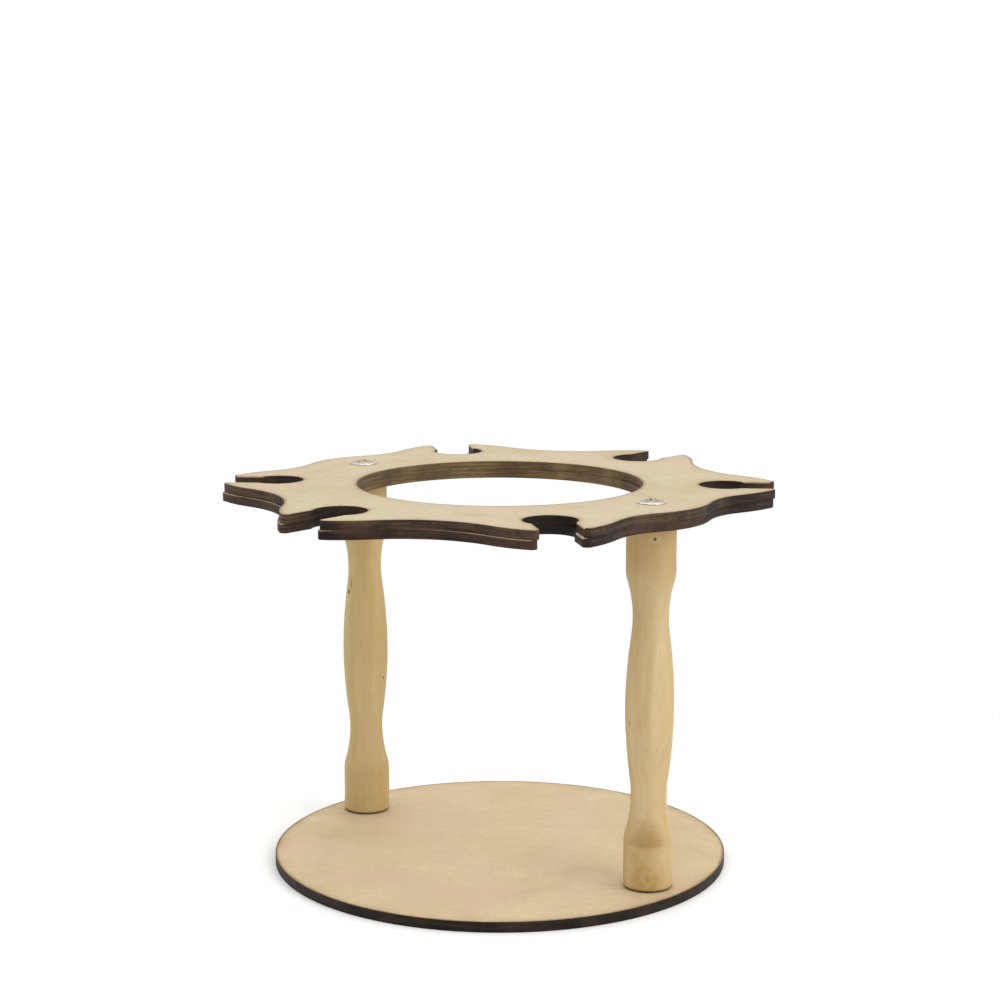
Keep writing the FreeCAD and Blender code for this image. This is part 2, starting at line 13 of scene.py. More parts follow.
import bmesh
import bpy
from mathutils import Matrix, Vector, noise
from mathutils.geometry import delaunay_2d_cdt
from mathutils.kdtree import KDTree


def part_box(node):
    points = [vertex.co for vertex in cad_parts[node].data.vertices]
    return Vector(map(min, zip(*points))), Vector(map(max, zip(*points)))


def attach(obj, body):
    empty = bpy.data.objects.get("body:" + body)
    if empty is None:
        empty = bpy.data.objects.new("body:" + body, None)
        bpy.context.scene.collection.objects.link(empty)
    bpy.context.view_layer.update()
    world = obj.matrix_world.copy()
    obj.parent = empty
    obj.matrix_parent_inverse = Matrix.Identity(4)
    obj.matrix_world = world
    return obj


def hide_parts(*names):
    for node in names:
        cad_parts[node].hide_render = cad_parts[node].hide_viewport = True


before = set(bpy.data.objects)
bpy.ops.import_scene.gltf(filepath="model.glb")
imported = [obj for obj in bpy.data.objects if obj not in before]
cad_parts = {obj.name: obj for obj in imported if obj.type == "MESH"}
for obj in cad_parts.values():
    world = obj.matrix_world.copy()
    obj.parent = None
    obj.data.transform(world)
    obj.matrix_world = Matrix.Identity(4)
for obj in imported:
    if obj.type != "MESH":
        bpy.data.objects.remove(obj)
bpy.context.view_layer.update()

LOG = logging.getLogger("holder")
MM = 0.001

Colour = Tuple[float, float, float, float]
Row = Tuple[float, float, float]
Feed = Union[float, Sequence[float], bpy.types.NodeSocket]

BLACK: Colour = (0.0, 0.0, 0.0, 1.0)
WHITE: Colour = (1.0, 1.0, 1.0, 1.0)
# Millimetres from a burnt cut from which a board is clean.
FAR_FROM_CUT = 12.0
# The photograph's right, seen in plan.
SIDE_WAY = (0.75, 0.66)


def shade(red: int, green: int, blue: int) -> Colour:
    """Turn a colour as a screen shows it into a linear one.

    Args:
        red: Red, 0 to 255.
        green: Green, 0 to 255.
        blue: Blue, 0 to 255.

    Returns:
        The linear colour, opaque.
    """
    linear = []
    for value in (red, green, blue):
        share = value / 255
        linear.append(share / 12.92 if share <= 0.04045 else ((share + 0.055) / 1.055) ** 2.4)
    return linear[0], linear[1], linear[2], 1.0


class Side(Enum):
    """Where a post and its screws stand along the X axis."""

    RIGHT = 1
    LEFT = -1

    @property
    def word(self) -> str:
        """The side in lower case, as the node names have it."""
        return self.name.lower()


class Layer(Enum):
    """The two cut layers of the carrier plate."""

    LOWER = "plate_lower"
    UPPER = "plate_upper"


class Head(Enum):
    """How a screw's head is made."""

    ROUND = "round"
    FLAT = "flat"


class Kind(Enum):
    """What a socket of a shared effect carries."""

    VALUE = "NodeSocketFloat"
    COLOUR = "NodeSocketColor"
    VECTOR = "NodeSocketVector"


@dataclass(frozen=True)
class Plug:
    """One named socket of a shared effect."""

    name: str
    kind: Kind
    value: Optional[float] = None


class Graph:
    """A hand that lays out and joins the nodes of one tree."""

    def __init__(self, tree: bpy.types.NodeTree) -> None:
        """Start on an empty tree.

        Args:
            tree: The tree that takes the nodes.
        """
        self.tree = tree

    def add(self, kind: str, settings: Optional[Dict[str, object]] = None,
            **feeds: Feed) -> bpy.types.Node:
        """Add a node.

        Args:
            kind: The node's type, without its leading "ShaderNode".
            settings: Properties of the node itself.
            **feeds: Values or sockets for its inputs, by name with _ for a space.

        Returns:
            The new node.
        """
        node = self.tree.nodes.new("ShaderNode" + kind)
        for name, value in (settings or {}).items():
            setattr(node, name, value)
        for name, value in feeds.items():
            self.feed(node.inputs[name.replace("_", " ")], value)
        return node

    def feed(self, socket: bpy.types.NodeSocket, value: Feed) -> None:
        """Set an input, or link another socket to it.

        Args:
            socket: The input.
            value: A number, a colour, a vector or an output to link.
        """
        if isinstance(value, bpy.types.NodeSocket):
            self.tree.links.new(value, socket)
        else:
            socket.default_value = value

    def sum(self, operation: str, first: Feed, second: Feed = 0.0,
            third: Feed = 0.0) -> bpy.types.NodeSocket:
        """Join values with a Math node.

        Args:
            operation: The node's operation.
            first: First value.
            second: Second value.
            third: Third value, where the operation has one.

        Returns:
            The result.
        """
        node = self.add("Math", {"operation": operation})
        for socket, value in zip(node.inputs, (first, second, third)):
            self.feed(socket, value)
        return node.outputs[0]

    def ease(self, value: Feed, low: float, high: float, start: float = 0.0,
             end: float = 1.0) -> bpy.types.NodeSocket:
        """Rise smoothly from one value to another between two limits.

        Args:
            value: What is read.
            low: Limit where the result is start.
            high: Limit where the result is end.
            start: Result at low.
            end: Result at high.

        Returns:
            The eased value.
        """
        node = self.add("MapRange", {"interpolation_type": "SMOOTHSTEP"}, Value=value,
                        From_Min=low, From_Max=high, To_Min=start, To_Max=end)
        return node.outputs["Result"]

    def mix(self, share: Feed, first: Feed, second: Feed) -> bpy.types.NodeSocket:
        """Blend two colours.

        Args:
            share: How much of the second colour, 0 to 1.
            first: Colour under it.
            second: Colour that comes in.

        Returns:
            The blended colour.
        """
        node = self.add("Mix", {"data_type": "RGBA"})
        self.feed(node.inputs[0], share)
        self.feed(node.inputs[6], first)
        self.feed(node.inputs[7], second)
        return node.outputs[2]

    def lay(self, over: Feed, under: Feed, mask: Feed, share: float) -> bpy.types.NodeSocket:
        """Lay a colour over another one where a mask is.

        Args:
            over: Colour that comes in.
            under: Colour under it.
            mask: Where it comes in, 0 to 1.
            share: How much of it comes in where the mask is 1.

        Returns:
            The blended colour.
        """
        return self.mix(self.sum("MULTIPLY", mask, share), under, over)

    def cloud(self, vector: Feed, scale: Feed, detail: float = 2.0, rough: float = 0.5,
              bend: float = 0.0) -> bpy.types.NodeSocket:
        """Read a soft noise.

        Args:
            vector: Where it is read.
            scale: Cells per metre.
            detail: Finer layers.
            rough: Strength of the finer layers.
            bend: Distortion.

        Returns:
            The noise, about 0.5.
        """
        node = self.add("TexNoise", Vector=vector, Scale=scale, Detail=detail, Roughness=rough,
                        Distortion=bend)
        return node.outputs["Fac"]

    def turned(self, vector: Feed, scale: Sequence[float], turn: float = 0.0) -> bpy.types.NodeSocket:
        """Turn a place about the Z axis and stretch it.

        Args:
            vector: The place.
            scale: Stretch along each axis.
            turn: Turn in degrees.

        Returns:
            The new place.
        """
        spun = self.add("VectorRotate", {"rotation_type": "Z_AXIS"}, Vector=vector,
                        Angle=math.radians(turn))
        node = self.add("VectorMath", {"operation": "MULTIPLY"})
        self.feed(node.inputs[0], spun.outputs[0])
        self.feed(node.inputs[1], tuple(scale))
        return node.outputs[0]

    def towards(self, place: Feed, way: Tuple[float, float]) -> bpy.types.NodeSocket:
        """Measure how far a place lies one way in plan.

        Args:
            place: The place.
            way: The way, as X and Y.

        Returns:
            How far it lies that way.
        """
        parts = self.add("SeparateXYZ", Vector=place)
        return self.sum("MULTIPLY_ADD", parts.outputs["X"], way[0],
                        self.sum("MULTIPLY", parts.outputs["Y"], way[1]))

    def bump(self, height: Feed, depth: float, strength: float,
             under: Optional[bpy.types.NodeSocket] = None) -> bpy.types.NodeSocket:
        """Turn a height into a normal.

        Args:
            height: Height, 0 to 1.
            depth: What a height of 1 is worth, in metres.
            strength: Share of it that shows.
            under: Normal that it lies on.

        Returns:
            The bumped normal.
        """
        node = self.add("Bump", Height=height, Distance=depth, Strength=strength)
        if under is not None:
            self.feed(node.inputs["Normal"], under)
        return node.outputs["Normal"]


class Effect:
    """A shared shader effect: a node group with named inputs and outputs, built once."""

    name = ""
    takes: Tuple[Plug, ...] = ()
    gives: Tuple[Plug, ...] = ()

    def lay_out(self, graph: Graph, ports: Dict[str, bpy.types.NodeSocket]) -> Dict[str, Feed]:
        """Build the inside of the group.

        Args:
            graph: The group's own graph.
            ports: The group's inputs by name.

        Returns:
            What goes to each output, by name.
        """
        raise NotImplementedError

    def group(self) -> bpy.types.NodeTree:
        """Build the group, or find it if it is there.

        Returns:
            The node group.
        """
        tree = bpy.data.node_groups.get(self.name)
        if tree is not None:
            return tree
        tree = bpy.data.node_groups.new(self.name, "ShaderNodeTree")
        for way, plugs in (("INPUT", self.takes), ("OUTPUT", self.gives)):
            for plug in plugs:
                socket = tree.interface.new_socket(plug.name, in_out=way, socket_type=plug.kind.value)
                if plug.value is not None:
                    socket.default_value = plug.value
        begin = tree.nodes.new("NodeGroupInput")
        end = tree.nodes.new("NodeGroupOutput")
        made = self.lay_out(Graph(tree), {plug.name: begin.outputs[plug.name] for plug in self.takes})
        for name, socket in made.items():
            tree.links.new(socket, end.inputs[name])
        return tree

    def place(self, graph: Graph, **feeds: Feed) -> Dict[str, bpy.types.NodeSocket]:
        """Use the group in a material.

        Args:
            graph: The material's graph.
            **feeds: Values or sockets for its inputs, by name with _ for a space.

        Returns:
            The group's outputs by name.
        """
        node = graph.tree.nodes.new("ShaderNodeGroup")
        node.node_tree = self.group()
        for name, value in feeds.items():
            graph.feed(node.inputs[name.replace("_", " ")], value)
        return {plug.name: node.outputs[plug.name] for plug in self.gives}


class BoardFibre(Effect):
    """Pressed wood fibre: soft clouds, short fibres that lie every way, and a fine nap."""

    name = "Board fibre"
    takes = (Plug("Vector", Kind.VECTOR), Plug("Spread", Kind.VALUE, 1.0))
    gives = (Plug("Cloud", Kind.VALUE), Plug("Pale Fibre", Kind.VALUE), Plug("Dark Fibre", Kind.VALUE),
             Plug("Height", Kind.VALUE))

    def lay_out(self, graph: Graph, ports: Dict[str, bpy.types.NodeSocket]) -> Dict[str, Feed]:
        """Lay clouds of two sizes and three ways of fibre over each other.

        Args:
            graph: The group's own graph.
            ports: The group's inputs by name.

        Returns:
            Cloud, fibre masks and height.
        """
        place = graph.add("VectorMath", {"operation": "SCALE"}, Vector=ports["Vector"],
                          Scale=ports["Spread"]).outputs[0]
        wide = graph.cloud(place, 26.0, 4.0, 0.55, 0.6)
        close = graph.cloud(place, 240.0, 3.0, 0.6)
        swirl = graph.add("TexNoise", Vector=place, Scale=150.0, Detail=1.0).outputs["Color"]
        swept = graph.add("VectorMath", {"operation": "MULTIPLY_ADD"})
        for socket, value in zip(swept.inputs, (swirl, (0.013, 0.013, 0.0), place)):
            graph.feed(socket, value)
        cloud = graph.sum("MULTIPLY_ADD", close, 0.35, graph.sum("MULTIPLY", wide, 0.65))
        fibres = []
        for turn, scale in ((18.0, (520.0, 3600.0, 900.0)), (77.0, (610.0, 4100.0, 900.0)),
                            (139.0, (560.0, 3900.0, 900.0))):
            fibres.append(graph.cloud(graph.turned(swept.outputs[0], scale, turn), 1.0, 1.0, 0.4, 0.3))
        most = graph.sum("MAXIMUM", graph.sum("MAXIMUM", fibres[0], fibres[1]), fibres[2])
        least = graph.sum("MINIMUM", graph.sum("MINIMUM", fibres[0], fibres[1]), fibres[2])
        nap = graph.cloud(place, 3800.0, 1.0)
        return {
            "Cloud": cloud,
            "Pale Fibre": graph.ease(most, 0.66, 0.78),
            "Dark Fibre": graph.ease(least, 0.35, 0.24),
            "Height": graph.sum("MULTIPLY_ADD", most, 0.6, graph.sum("MULTIPLY", nap, 0.4)),
        }


class BurntEdge(Effect):
    """What a cutting beam leaves on the face beside its cut: wide haze, brown halo, then char."""

    name = "Burnt edge"
    takes = (Plug("Vector", Kind.VECTOR), Plug("From Cut", Kind.VALUE, FAR_FROM_CUT))
    gives = (Plug("Haze", Kind.VALUE), Plug("Halo", Kind.VALUE), Plug("Char", Kind.VALUE))

    def lay_out(self, graph: Graph, ports: Dict[str, bpy.types.NodeSocket]) -> Dict[str, Feed]:
        """Ease the distance from the cut, in millimetres, broken up by noise.

        Args:
            graph: The group's own graph.
            ports: The group's inputs by name.

        Returns:
            Masks of the haze, the halo and the char.
        """
        away = ports["From Cut"]
        broad = graph.cloud(ports["Vector"], 38.0, 3.0, 0.6, 0.8)
        middle = graph.cloud(ports["Vector"], 210.0, 2.0, 0.6)
        fine = graph.cloud(ports["Vector"], 1300.0, 2.0)
        patchy = graph.ease(broad, 0.40, 0.66, 0.25, 1.0)
        haze = graph.sum("MULTIPLY", graph.sum("POWER", graph.ease(away, 9.0, 0.0), 1.8), patchy)
        swayed = graph.sum("MULTIPLY", away, graph.sum("MULTIPLY_ADD", middle, 1.5, 0.25))
        rough = graph.sum("MULTIPLY_ADD", graph.sum("SUBTRACT", fine, 0.5), 0.16, away)
        return {"Haze": haze, "Halo": graph.ease(swayed, 1.7, 0.15), "Char": graph.ease(rough, 0.20, 0.09)}


class CutWall(Effect):
    """A wall cut by a beam: fine upright strokes, layers of the board and sooty clouds."""

    name = "Cut wall"
    takes = (Plug("Vector", Kind.VECTOR), Plug("Along And Up", Kind.VECTOR))
    gives = (Plug("Tone", Kind.VALUE), Plug("Soot", Kind.VALUE), Plug("Height", Kind.VALUE))

    def lay_out(self, graph: Graph, ports: Dict[str, bpy.types.NodeSocket]) -> Dict[str, Feed]:
        """Read noise stretched up the wall and along it.

        Args:
            graph: The group's own graph.
            ports: The group's inputs by name.

        Returns:
            Tone, soot mask and height.
        """
        wall = ports["Along And Up"]
        strokes = graph.cloud(graph.turned(wall, (3600.0, 170.0, 1.0)), 1.0, 2.0, 0.6)
        layers = graph.cloud(graph.turned(wall, (46.0, 1500.0, 1.0)), 1.0, 3.0, 0.6, 0.4)
        clouds = graph.cloud(ports["Vector"], 60.0, 2.0)
        tone = graph.sum("MULTIPLY_ADD", layers, 0.55, graph.sum("MULTIPLY", clouds, 0.45))
        return {
            "Tone": graph.ease(tone, 0.36, 0.66),
            "Soot": graph.ease(graph.cloud(ports["Vector"], 420.0, 3.0, 0.6), 0.50, 0.72),
            "Height": graph.sum("MULTIPLY_ADD", strokes, 0.7, graph.sum("MULTIPLY", layers, 0.3)),
        }


class TurnedGrain(Effect):
    """Straight-grown wood cut on a lathe: year rings, long streaks, short pores, tool marks."""

    name = "Turned grain"
    takes = (Plug("Vector", Kind.VECTOR), Plug("Ring Gap", Kind.VALUE, 0.0021))
    gives = (Plug("Tone", Kind.VALUE), Plug("Rings", Kind.VALUE), Plug("Streaks", Kind.VALUE),
             Plug("Pores", Kind.VALUE), Plug("Height", Kind.VALUE))

    def lay_out(self, graph: Graph, ports: Dict[str, bpy.types.NodeSocket]) -> Dict[str, Feed]:
        """Count rings from a far heart of the tree and stretch noise along the post.

        Args:
            graph: The group's own graph.
            ports: The group's inputs by name.

        Returns:
            Masks for tone, rings, streaks and pores, and a height.
        """
        place = ports["Vector"]
        sway = graph.cloud(graph.turned(place, (55.0, 55.0, 9.0)), 1.0, 2.0, 0.5)
        parts = graph.add("SeparateXYZ", Vector=place)
        lean = graph.sum("MULTIPLY", parts.outputs["Z"], 0.018)
        across = graph.sum("ADD", graph.sum("ADD", parts.outputs["X"], 0.041), lean)
        span = graph.sum("MULTIPLY_ADD", graph.sum("SUBTRACT", sway, 0.5), 0.0042,
                         graph.sum("SQRT", graph.sum("MULTIPLY_ADD", across, across,
                                                     graph.sum("MULTIPLY", parts.outputs["Y"],
                                                               parts.outputs["Y"]))))
        count = graph.sum("DIVIDE", span, ports["Ring Gap"])
        part = graph.sum("FRACT", count)
        rings = graph.sum("MULTIPLY", graph.ease(part, 0.05, 0.88), graph.ease(part, 1.0, 0.93))
        streaks = graph.cloud(graph.turned(place, (520.0, 520.0, 11.0)), 1.0, 5.0, 0.62, 0.2)
        pores = graph.cloud(graph.turned(place, (3000.0, 3000.0, 190.0)), 1.0, 1.0, 0.4)
        tone = graph.cloud(graph.turned(place, (95.0, 95.0, 13.0)), 1.0, 3.0, 0.55)
        tool = graph.cloud(graph.turned(place, (12.0, 12.0, 1500.0)), 1.0, 2.0, 0.5)
        height = graph.sum("MULTIPLY_ADD", streaks, 0.6, graph.sum("MULTIPLY", tool, 0.4))
        return {
            "Tone": graph.ease(tone, 0.33, 0.68),
            "Rings": rings,
            "Streaks": graph.ease(streaks, 0.50, 0.74),
            "Pores": graph.ease(pores, 0.66, 0.76),
            "Height": height,
        }


class Knot(Effect):
    """A small knot or stain at one place of a post, with a paler ring round it."""

    name = "Knot"
    takes = (Plug("Vector", Kind.VECTOR), Plug("Centre", Kind.VECTOR), Plug("Radius", Kind.VALUE, 0.001),
             Plug("Stretch", Kind.VALUE, 1.0))
    gives = (Plug("Core", Kind.VALUE), Plug("Ring", Kind.VALUE))

    def lay_out(self, graph: Graph, ports: Dict[str, bpy.types.NodeSocket]) -> Dict[str, Feed]:
        """Measure the way to the centre, shorter along the grain.

        Args:
            graph: The group's own graph.
            ports: The group's inputs by name.

        Returns:
            Masks of the dark core and of the ring.
        """
        away = graph.add("VectorMath", {"operation": "SUBTRACT"})
        graph.feed(away.inputs[0], ports["Vector"])
        graph.feed(away.inputs[1], ports["Centre"])
        parts = graph.add("SeparateXYZ", Vector=away.outputs[0])
        low = graph.sum("DIVIDE", parts.outputs["Z"], ports["Stretch"])
        joined = graph.add("CombineXYZ", X=parts.outputs["X"], Y=parts.outputs["Y"], Z=low)
        length = graph.add("VectorMath", {"operation": "LENGTH"}, Vector=joined.outputs[0])
        ragged = graph.sum("MULTIPLY_ADD", graph.cloud(ports["Vector"], 1500.0, 2.0), 0.9, 0.55)
        ratio = graph.sum("DIVIDE", graph.sum("MULTIPLY", length.outputs["Value"], ragged),
                          ports["Radius"])
        return {"Core": graph.ease(ratio, 1.05, 0.35),
                "Ring": graph.sum("MULTIPLY", graph.ease(ratio, 3.2, 1.3), graph.ease(ratio, 0.7, 1.3))}


class Handling(Effect):
    """Faint smudges and dust from use, the same kind on every piece."""

    name = "Handling"
    takes = (Plug("Vector", Kind.VECTOR), Plug("Size", Kind.VALUE, 60.0))
    gives = (Plug("Smudge", Kind.VALUE), Plug("Dust", Kind.VALUE))

    def lay_out(self, graph: Graph, ports: Dict[str, bpy.types.NodeSocket]) -> Dict[str, Feed]:
        """Read broad soft patches and sparse fine specks.

        Args:
            graph: The group's own graph.
            ports: The group's inputs by name.

        Returns:
            Masks of smudge and dust.
        """
        patch = graph.cloud(ports["Vector"], ports["Size"], 3.0, 0.55, 1.2)
        specks = graph.cloud(ports["Vector"], 2600.0, 1.0, 0.3)
        return {"Smudge": graph.ease(patch, 0.50, 0.72), "Dust": graph.ease(specks, 0.74, 0.82)}


BOARD_FIBRE = BoardFibre()
BURNT_EDGE = BurntEdge()
CUT_WALL = CutWall()
TURNED_GRAIN = TurnedGrain()
KNOT = Knot()
HANDLING = Handling()


def start_material(name: str) -> Tuple[bpy.types.Material, Graph, bpy.types.Node]:
    """Make a material with one Principled shader.

    Args:
        name: The material's name.

    Returns:
        The material, its graph and the shader.
    """
    material = bpy.data.materials.new(name)
    material.use_nodes = True
    material.node_tree.nodes.clear()
    graph = Graph(material.node_tree)
    shader = graph.add("BsdfPrincipled")
    graph.add("OutputMaterial", Surface=shader.outputs["BSDF"])
    return material, graph, shader


@dataclass(frozen=True)
class CutBoardFinish:
    """Bare fibreboard with beam-burnt walls, browner inside an inner radius."""

    name: str
    pale: Colour
    deep: Colour
    warm: Colour
    smoke: Colour
    char_light: Colour
    char_dark: Colour
    inner_light: Colour
    inner_dark: Colour
    inner_radius: float = 60.0 * MM
    spread: float = 1.0
    pale_fibre: Colour = shade(226, 210, 176)
    dark_fibre: Colour = shade(140, 110, 76)
    smudge: Colour = shade(168, 142, 104)
    speck: Colour = shade(132, 104, 70)
    scorch: Colour = shade(168, 140, 98)
    soot: Colour = shade(27, 21, 16)
    warm_share: float = 0.75
    pale_share: float = 0.24
    dark_share: float = 0.20
    smudge_share: float = 0.16
    speck_share: float = 0.30
    haze_share: float = 0.42
    halo_share: float = 0.85
    wall_soot_share: float = 0.55
    slot_soot_share: float = 0.86
    roughness: float = 0.66
    fibre_depth: float = 0.06 * MM
    stroke_depth: float = 0.16 * MM

    def material(self) -> bpy.types.Material:
        """Build the material.

        Returns:
            The finished material.
        """
        material, graph, shader = start_material(self.name)
        place = graph.add("TexCoord").outputs["Object"]
        wall = graph.add("UVMap", {"uv_map": "wall"}).outputs["UV"]
        from_cut = graph.add("Attribute", {"attribute_name": "from_cut"}).outputs["Fac"]
        sooty = graph.add("Attribute", {"attribute_name": "soot"}).outputs["Fac"]
        fibre = BOARD_FIBRE.place(graph, Vector=place, Spread=self.spread)
        hands = HANDLING.place(graph, Vector=place, Size=34.0)
        burn = BURNT_EDGE.place(graph, Vector=place, From_Cut=from_cut)
        cut = CUT_WALL.place(graph, Vector=place, Along_And_Up=wall)
        face = graph.mix(graph.ease(fibre["Cloud"], 0.36, 0.64), self.deep, self.pale)
        blush = graph.ease(graph.cloud(place, 17.0, 3.0, 0.6, 1.5), 0.42, 0.62)
        for over, mask, share in ((self.warm, blush, self.warm_share),
                                  (self.pale_fibre, fibre["Pale Fibre"], self.pale_share),
                                  (self.dark_fibre, fibre["Dark Fibre"], self.dark_share),
                                  (self.smudge, hands["Smudge"], self.smudge_share),
                                  (self.speck, hands["Dust"], self.speck_share),
                                  (self.scorch, burn["Haze"], self.haze_share),
                                  (self.smoke, burn["Halo"], self.halo_share)):
            face = graph.lay(over, face, mask, share)
        parts = graph.add("SeparateXYZ", Vector=place)
        flat = graph.add("CombineXYZ", X=parts.outputs["X"], Y=parts.outputs["Y"])
        radius = graph.add("VectorMath", {"operation": "LENGTH"}, Vector=flat.outputs[0]).outputs["Value"]
        inner = graph.ease(radius, self.inner_radius + 2 * MM, self.inner_radius)
        light = graph.mix(inner, self.char_light, self.inner_light)
        dark = graph.mix(inner, self.char_dark, self.inner_dark)
        edge = graph.mix(cut["Tone"], dark, light)
        edge = graph.lay(dark, edge, cut["Soot"], self.wall_soot_share)
        edge = graph.lay(self.soot, edge, sooty, self.slot_soot_share)
        graph.feed(shader.inputs["Base Color"], graph.mix(burn["Char"], face, edge))
        rough = graph.sum("MULTIPLY_ADD", hands["Smudge"], -0.07, self.roughness)
        rough = graph.sum("MULTIPLY_ADD", burn["Char"], -0.08, rough)
        graph.feed(shader.inputs["Roughness"], rough)
        on_face = graph.bump(fibre["Height"], self.fibre_depth, 0.35)
        height = graph.sum("MULTIPLY", cut["Height"], burn["Char"])
        graph.feed(shader.inputs["Normal"], graph.bump(height, self.stroke_depth, 0.7, on_face))
        shader.inputs["Specular IOR Level"].default_value = 0.2
        return material


def on_surface(radius_at: Callable[[float], float], height: float,
               bearing: float) -> Tuple[float, float, float]:
    """Find a point on a post's surface.

    Args:
        radius_at: The post's radius at a height.
        height: The point's height over the foot.
        bearing: Its bearing from +X, in degrees.

    Returns:
        The point.
    """
    reach = radius_at(height)
    angle = math.radians(bearing)
    return reach * math.cos(angle), reach * math.sin(angle), height


@dataclass(frozen=True)
class Mark:
    """A knot or stain on a post, by its height over the foot and its bearing from +X."""

    height: float
    bearing: float
    radius: float
    stretch: float
    colour: Colour
    strength: float = 0.9
    ring: float = 0.35


@dataclass(frozen=True)
class TurnedWoodFinish:
    """Bare turned wood, straight in its grain, with its own knots."""

    name: str
    pale: Colour
    tan: Colour
    streak: Colour
    blush: Colour
    ochre: Colour
    olive: Colour
    stained_side: float
    spot_side: float
    turn: float
    marks: Tuple[Mark, ...]
    pore: Colour = shade(128, 92, 54)
    smudge: Colour = shade(158, 126, 84)
    # Soiled end grain at the foot's lower edge, darkened further as a painted contact shadow.
    soil_and_contact_shade: Colour = shade(56, 36, 14)
    ring_share: float = 0.11
    streak_share: float = 0.22
    blush_share: float = 0.55
    pore_share: float = 0.26
    smudge_share: float = 0.12
    soil_and_contact_shade_share: float = 0.88
    soil_and_contact_shade_height: float = 1.9 * MM
    ochre_reach: float = 28.0 * MM
    collar_stain_and_shade_share: float = 0.4
    patch_edge: Tuple[float, float] = (8.5 * MM, 13.5 * MM)
    patch_least: float = 0.35
    spot_rise: float = 2.0 * MM
    spot_radius: float = 13.0 * MM
    spot_core: float = 4.0 * MM
    spot_share: float = 0.45
    raggedness: float = 7.0 * MM
    side_raggedness: float = 5.0 * MM
    spot_raggedness: float = 4.0 * MM
    roughness: float = 0.56
    grain_depth: float = 0.12 * MM

    def wood(self, graph: Graph, grain: Dict[str, bpy.types.NodeSocket],
             grown: bpy.types.NodeSocket) -> bpy.types.NodeSocket:
        """Colour the bare wood.

        Args:
            graph: The material's graph.
            grain: What the turned grain gives.
            grown: The place on the post, turned as the wood grew.

        Returns:
            The colour of the clean wood.
        """
        colour = graph.mix(grain["Tone"], self.tan, self.pale)
        colour = graph.lay(self.streak, colour, grain["Rings"], self.ring_share)
        colour = graph.lay(self.streak, colour, grain["Streaks"], self.streak_share)
        along = graph.turned(grown, (130.0, 130.0, 20.0))
        blush = graph.ease(graph.cloud(along, 1.0, 3.0, 0.6, 0.4), 0.42, 0.62)
        colour = graph.lay(self.blush, colour, blush, self.blush_share)
        return graph.lay(self.pore, colour, grain["Pores"], self.pore_share)

    def stain(self, graph: Graph, place: bpy.types.NodeSocket, ends: Tuple[float, float],
              radius_at: Callable[[float], float], colour: bpy.types.NodeSocket,
              blotch: bpy.types.NodeSocket) -> bpy.types.NodeSocket:
        """Stain the wood: ochre at the foot, ochre towards the top that is partly painted shade under the
        plate, and an olive spot that ends on the foot's upper edge.

        Args:
            graph: The material's graph.
            place: Where it is read.
            ends: Heights where the straight foot ends and the straight collar begins.
            radius_at: The post's radius at a height.
            colour: The clean wood.
            blotch: How strong the stain is from place to place.

        Returns:
            The stained colour.
        """
        low, high = ends
        height = graph.add("SeparateXYZ", Vector=place).outputs["Z"]
        ragged = graph.sum("MULTIPLY_ADD", graph.cloud(place, 85.0, 3.0, 0.6), self.raggedness, height)
        stained = math.radians(self.stained_side)
        ragged_side = graph.sum("MULTIPLY_ADD", graph.cloud(place, 110.0, 2.0, 0.6, 1.5),
                                self.side_raggedness,
                                graph.towards(place, (math.cos(stained), math.sin(stained))))
        patch = graph.ease(ragged_side, *self.patch_edge, self.patch_least, 1.0)
        foot = graph.ease(ragged, low + self.ochre_reach, low + 2.0 * MM)
        # Ochre rising towards the plate: partly a stain, partly painted shade under the plate.
        collar = graph.ease(ragged, high - 4.0 * MM, high + 9.0 * MM, 0.0, self.collar_stain_and_shade_share)
        both = graph.sum("MAXIMUM", graph.sum("MULTIPLY", foot, patch), collar)
        colour = graph.mix(graph.sum("MULTIPLY", both, blotch), colour, self.ochre)
        away = graph.add("VectorMath", {"operation": "DISTANCE"}, Vector=place)
        graph.feed(away.inputs[1], on_surface(radius_at, low + self.spot_rise, self.spot_side))
        ragged_away = graph.sum("MULTIPLY_ADD", graph.cloud(place, 160.0, 2.0, 0.6, 1.0),
                                self.spot_raggedness, away.outputs["Value"])
        above_foot = graph.ease(height, low - 0.6 * MM, low + 0.5 * MM)
        spot = graph.sum("MULTIPLY", graph.ease(ragged_away, self.spot_radius, self.spot_core), above_foot)
        return graph.lay(self.olive, colour, spot, self.spot_share)

    def mark(self, graph: Graph, place: bpy.types.NodeSocket, radius_at: Callable[[float], float],
             colour: bpy.types.NodeSocket) -> bpy.types.NodeSocket:
        """Put the knots and small stains on the surface.

        Args:
            graph: The material's graph.
            place: Where it is read.
            radius_at: The post's radius at a height.
            colour: The wood without them.

        Returns:
            The colour with them.
        """
        for mark in self.marks:
            centre = on_surface(radius_at, mark.height, mark.bearing)
            knot = KNOT.place(graph, Vector=place, Centre=centre, Radius=mark.radius,
                              Stretch=mark.stretch)
            colour = graph.lay(self.pale, colour, knot["Ring"], mark.ring)
            colour = graph.lay(mark.colour, colour, knot["Core"], mark.strength)
        return colour

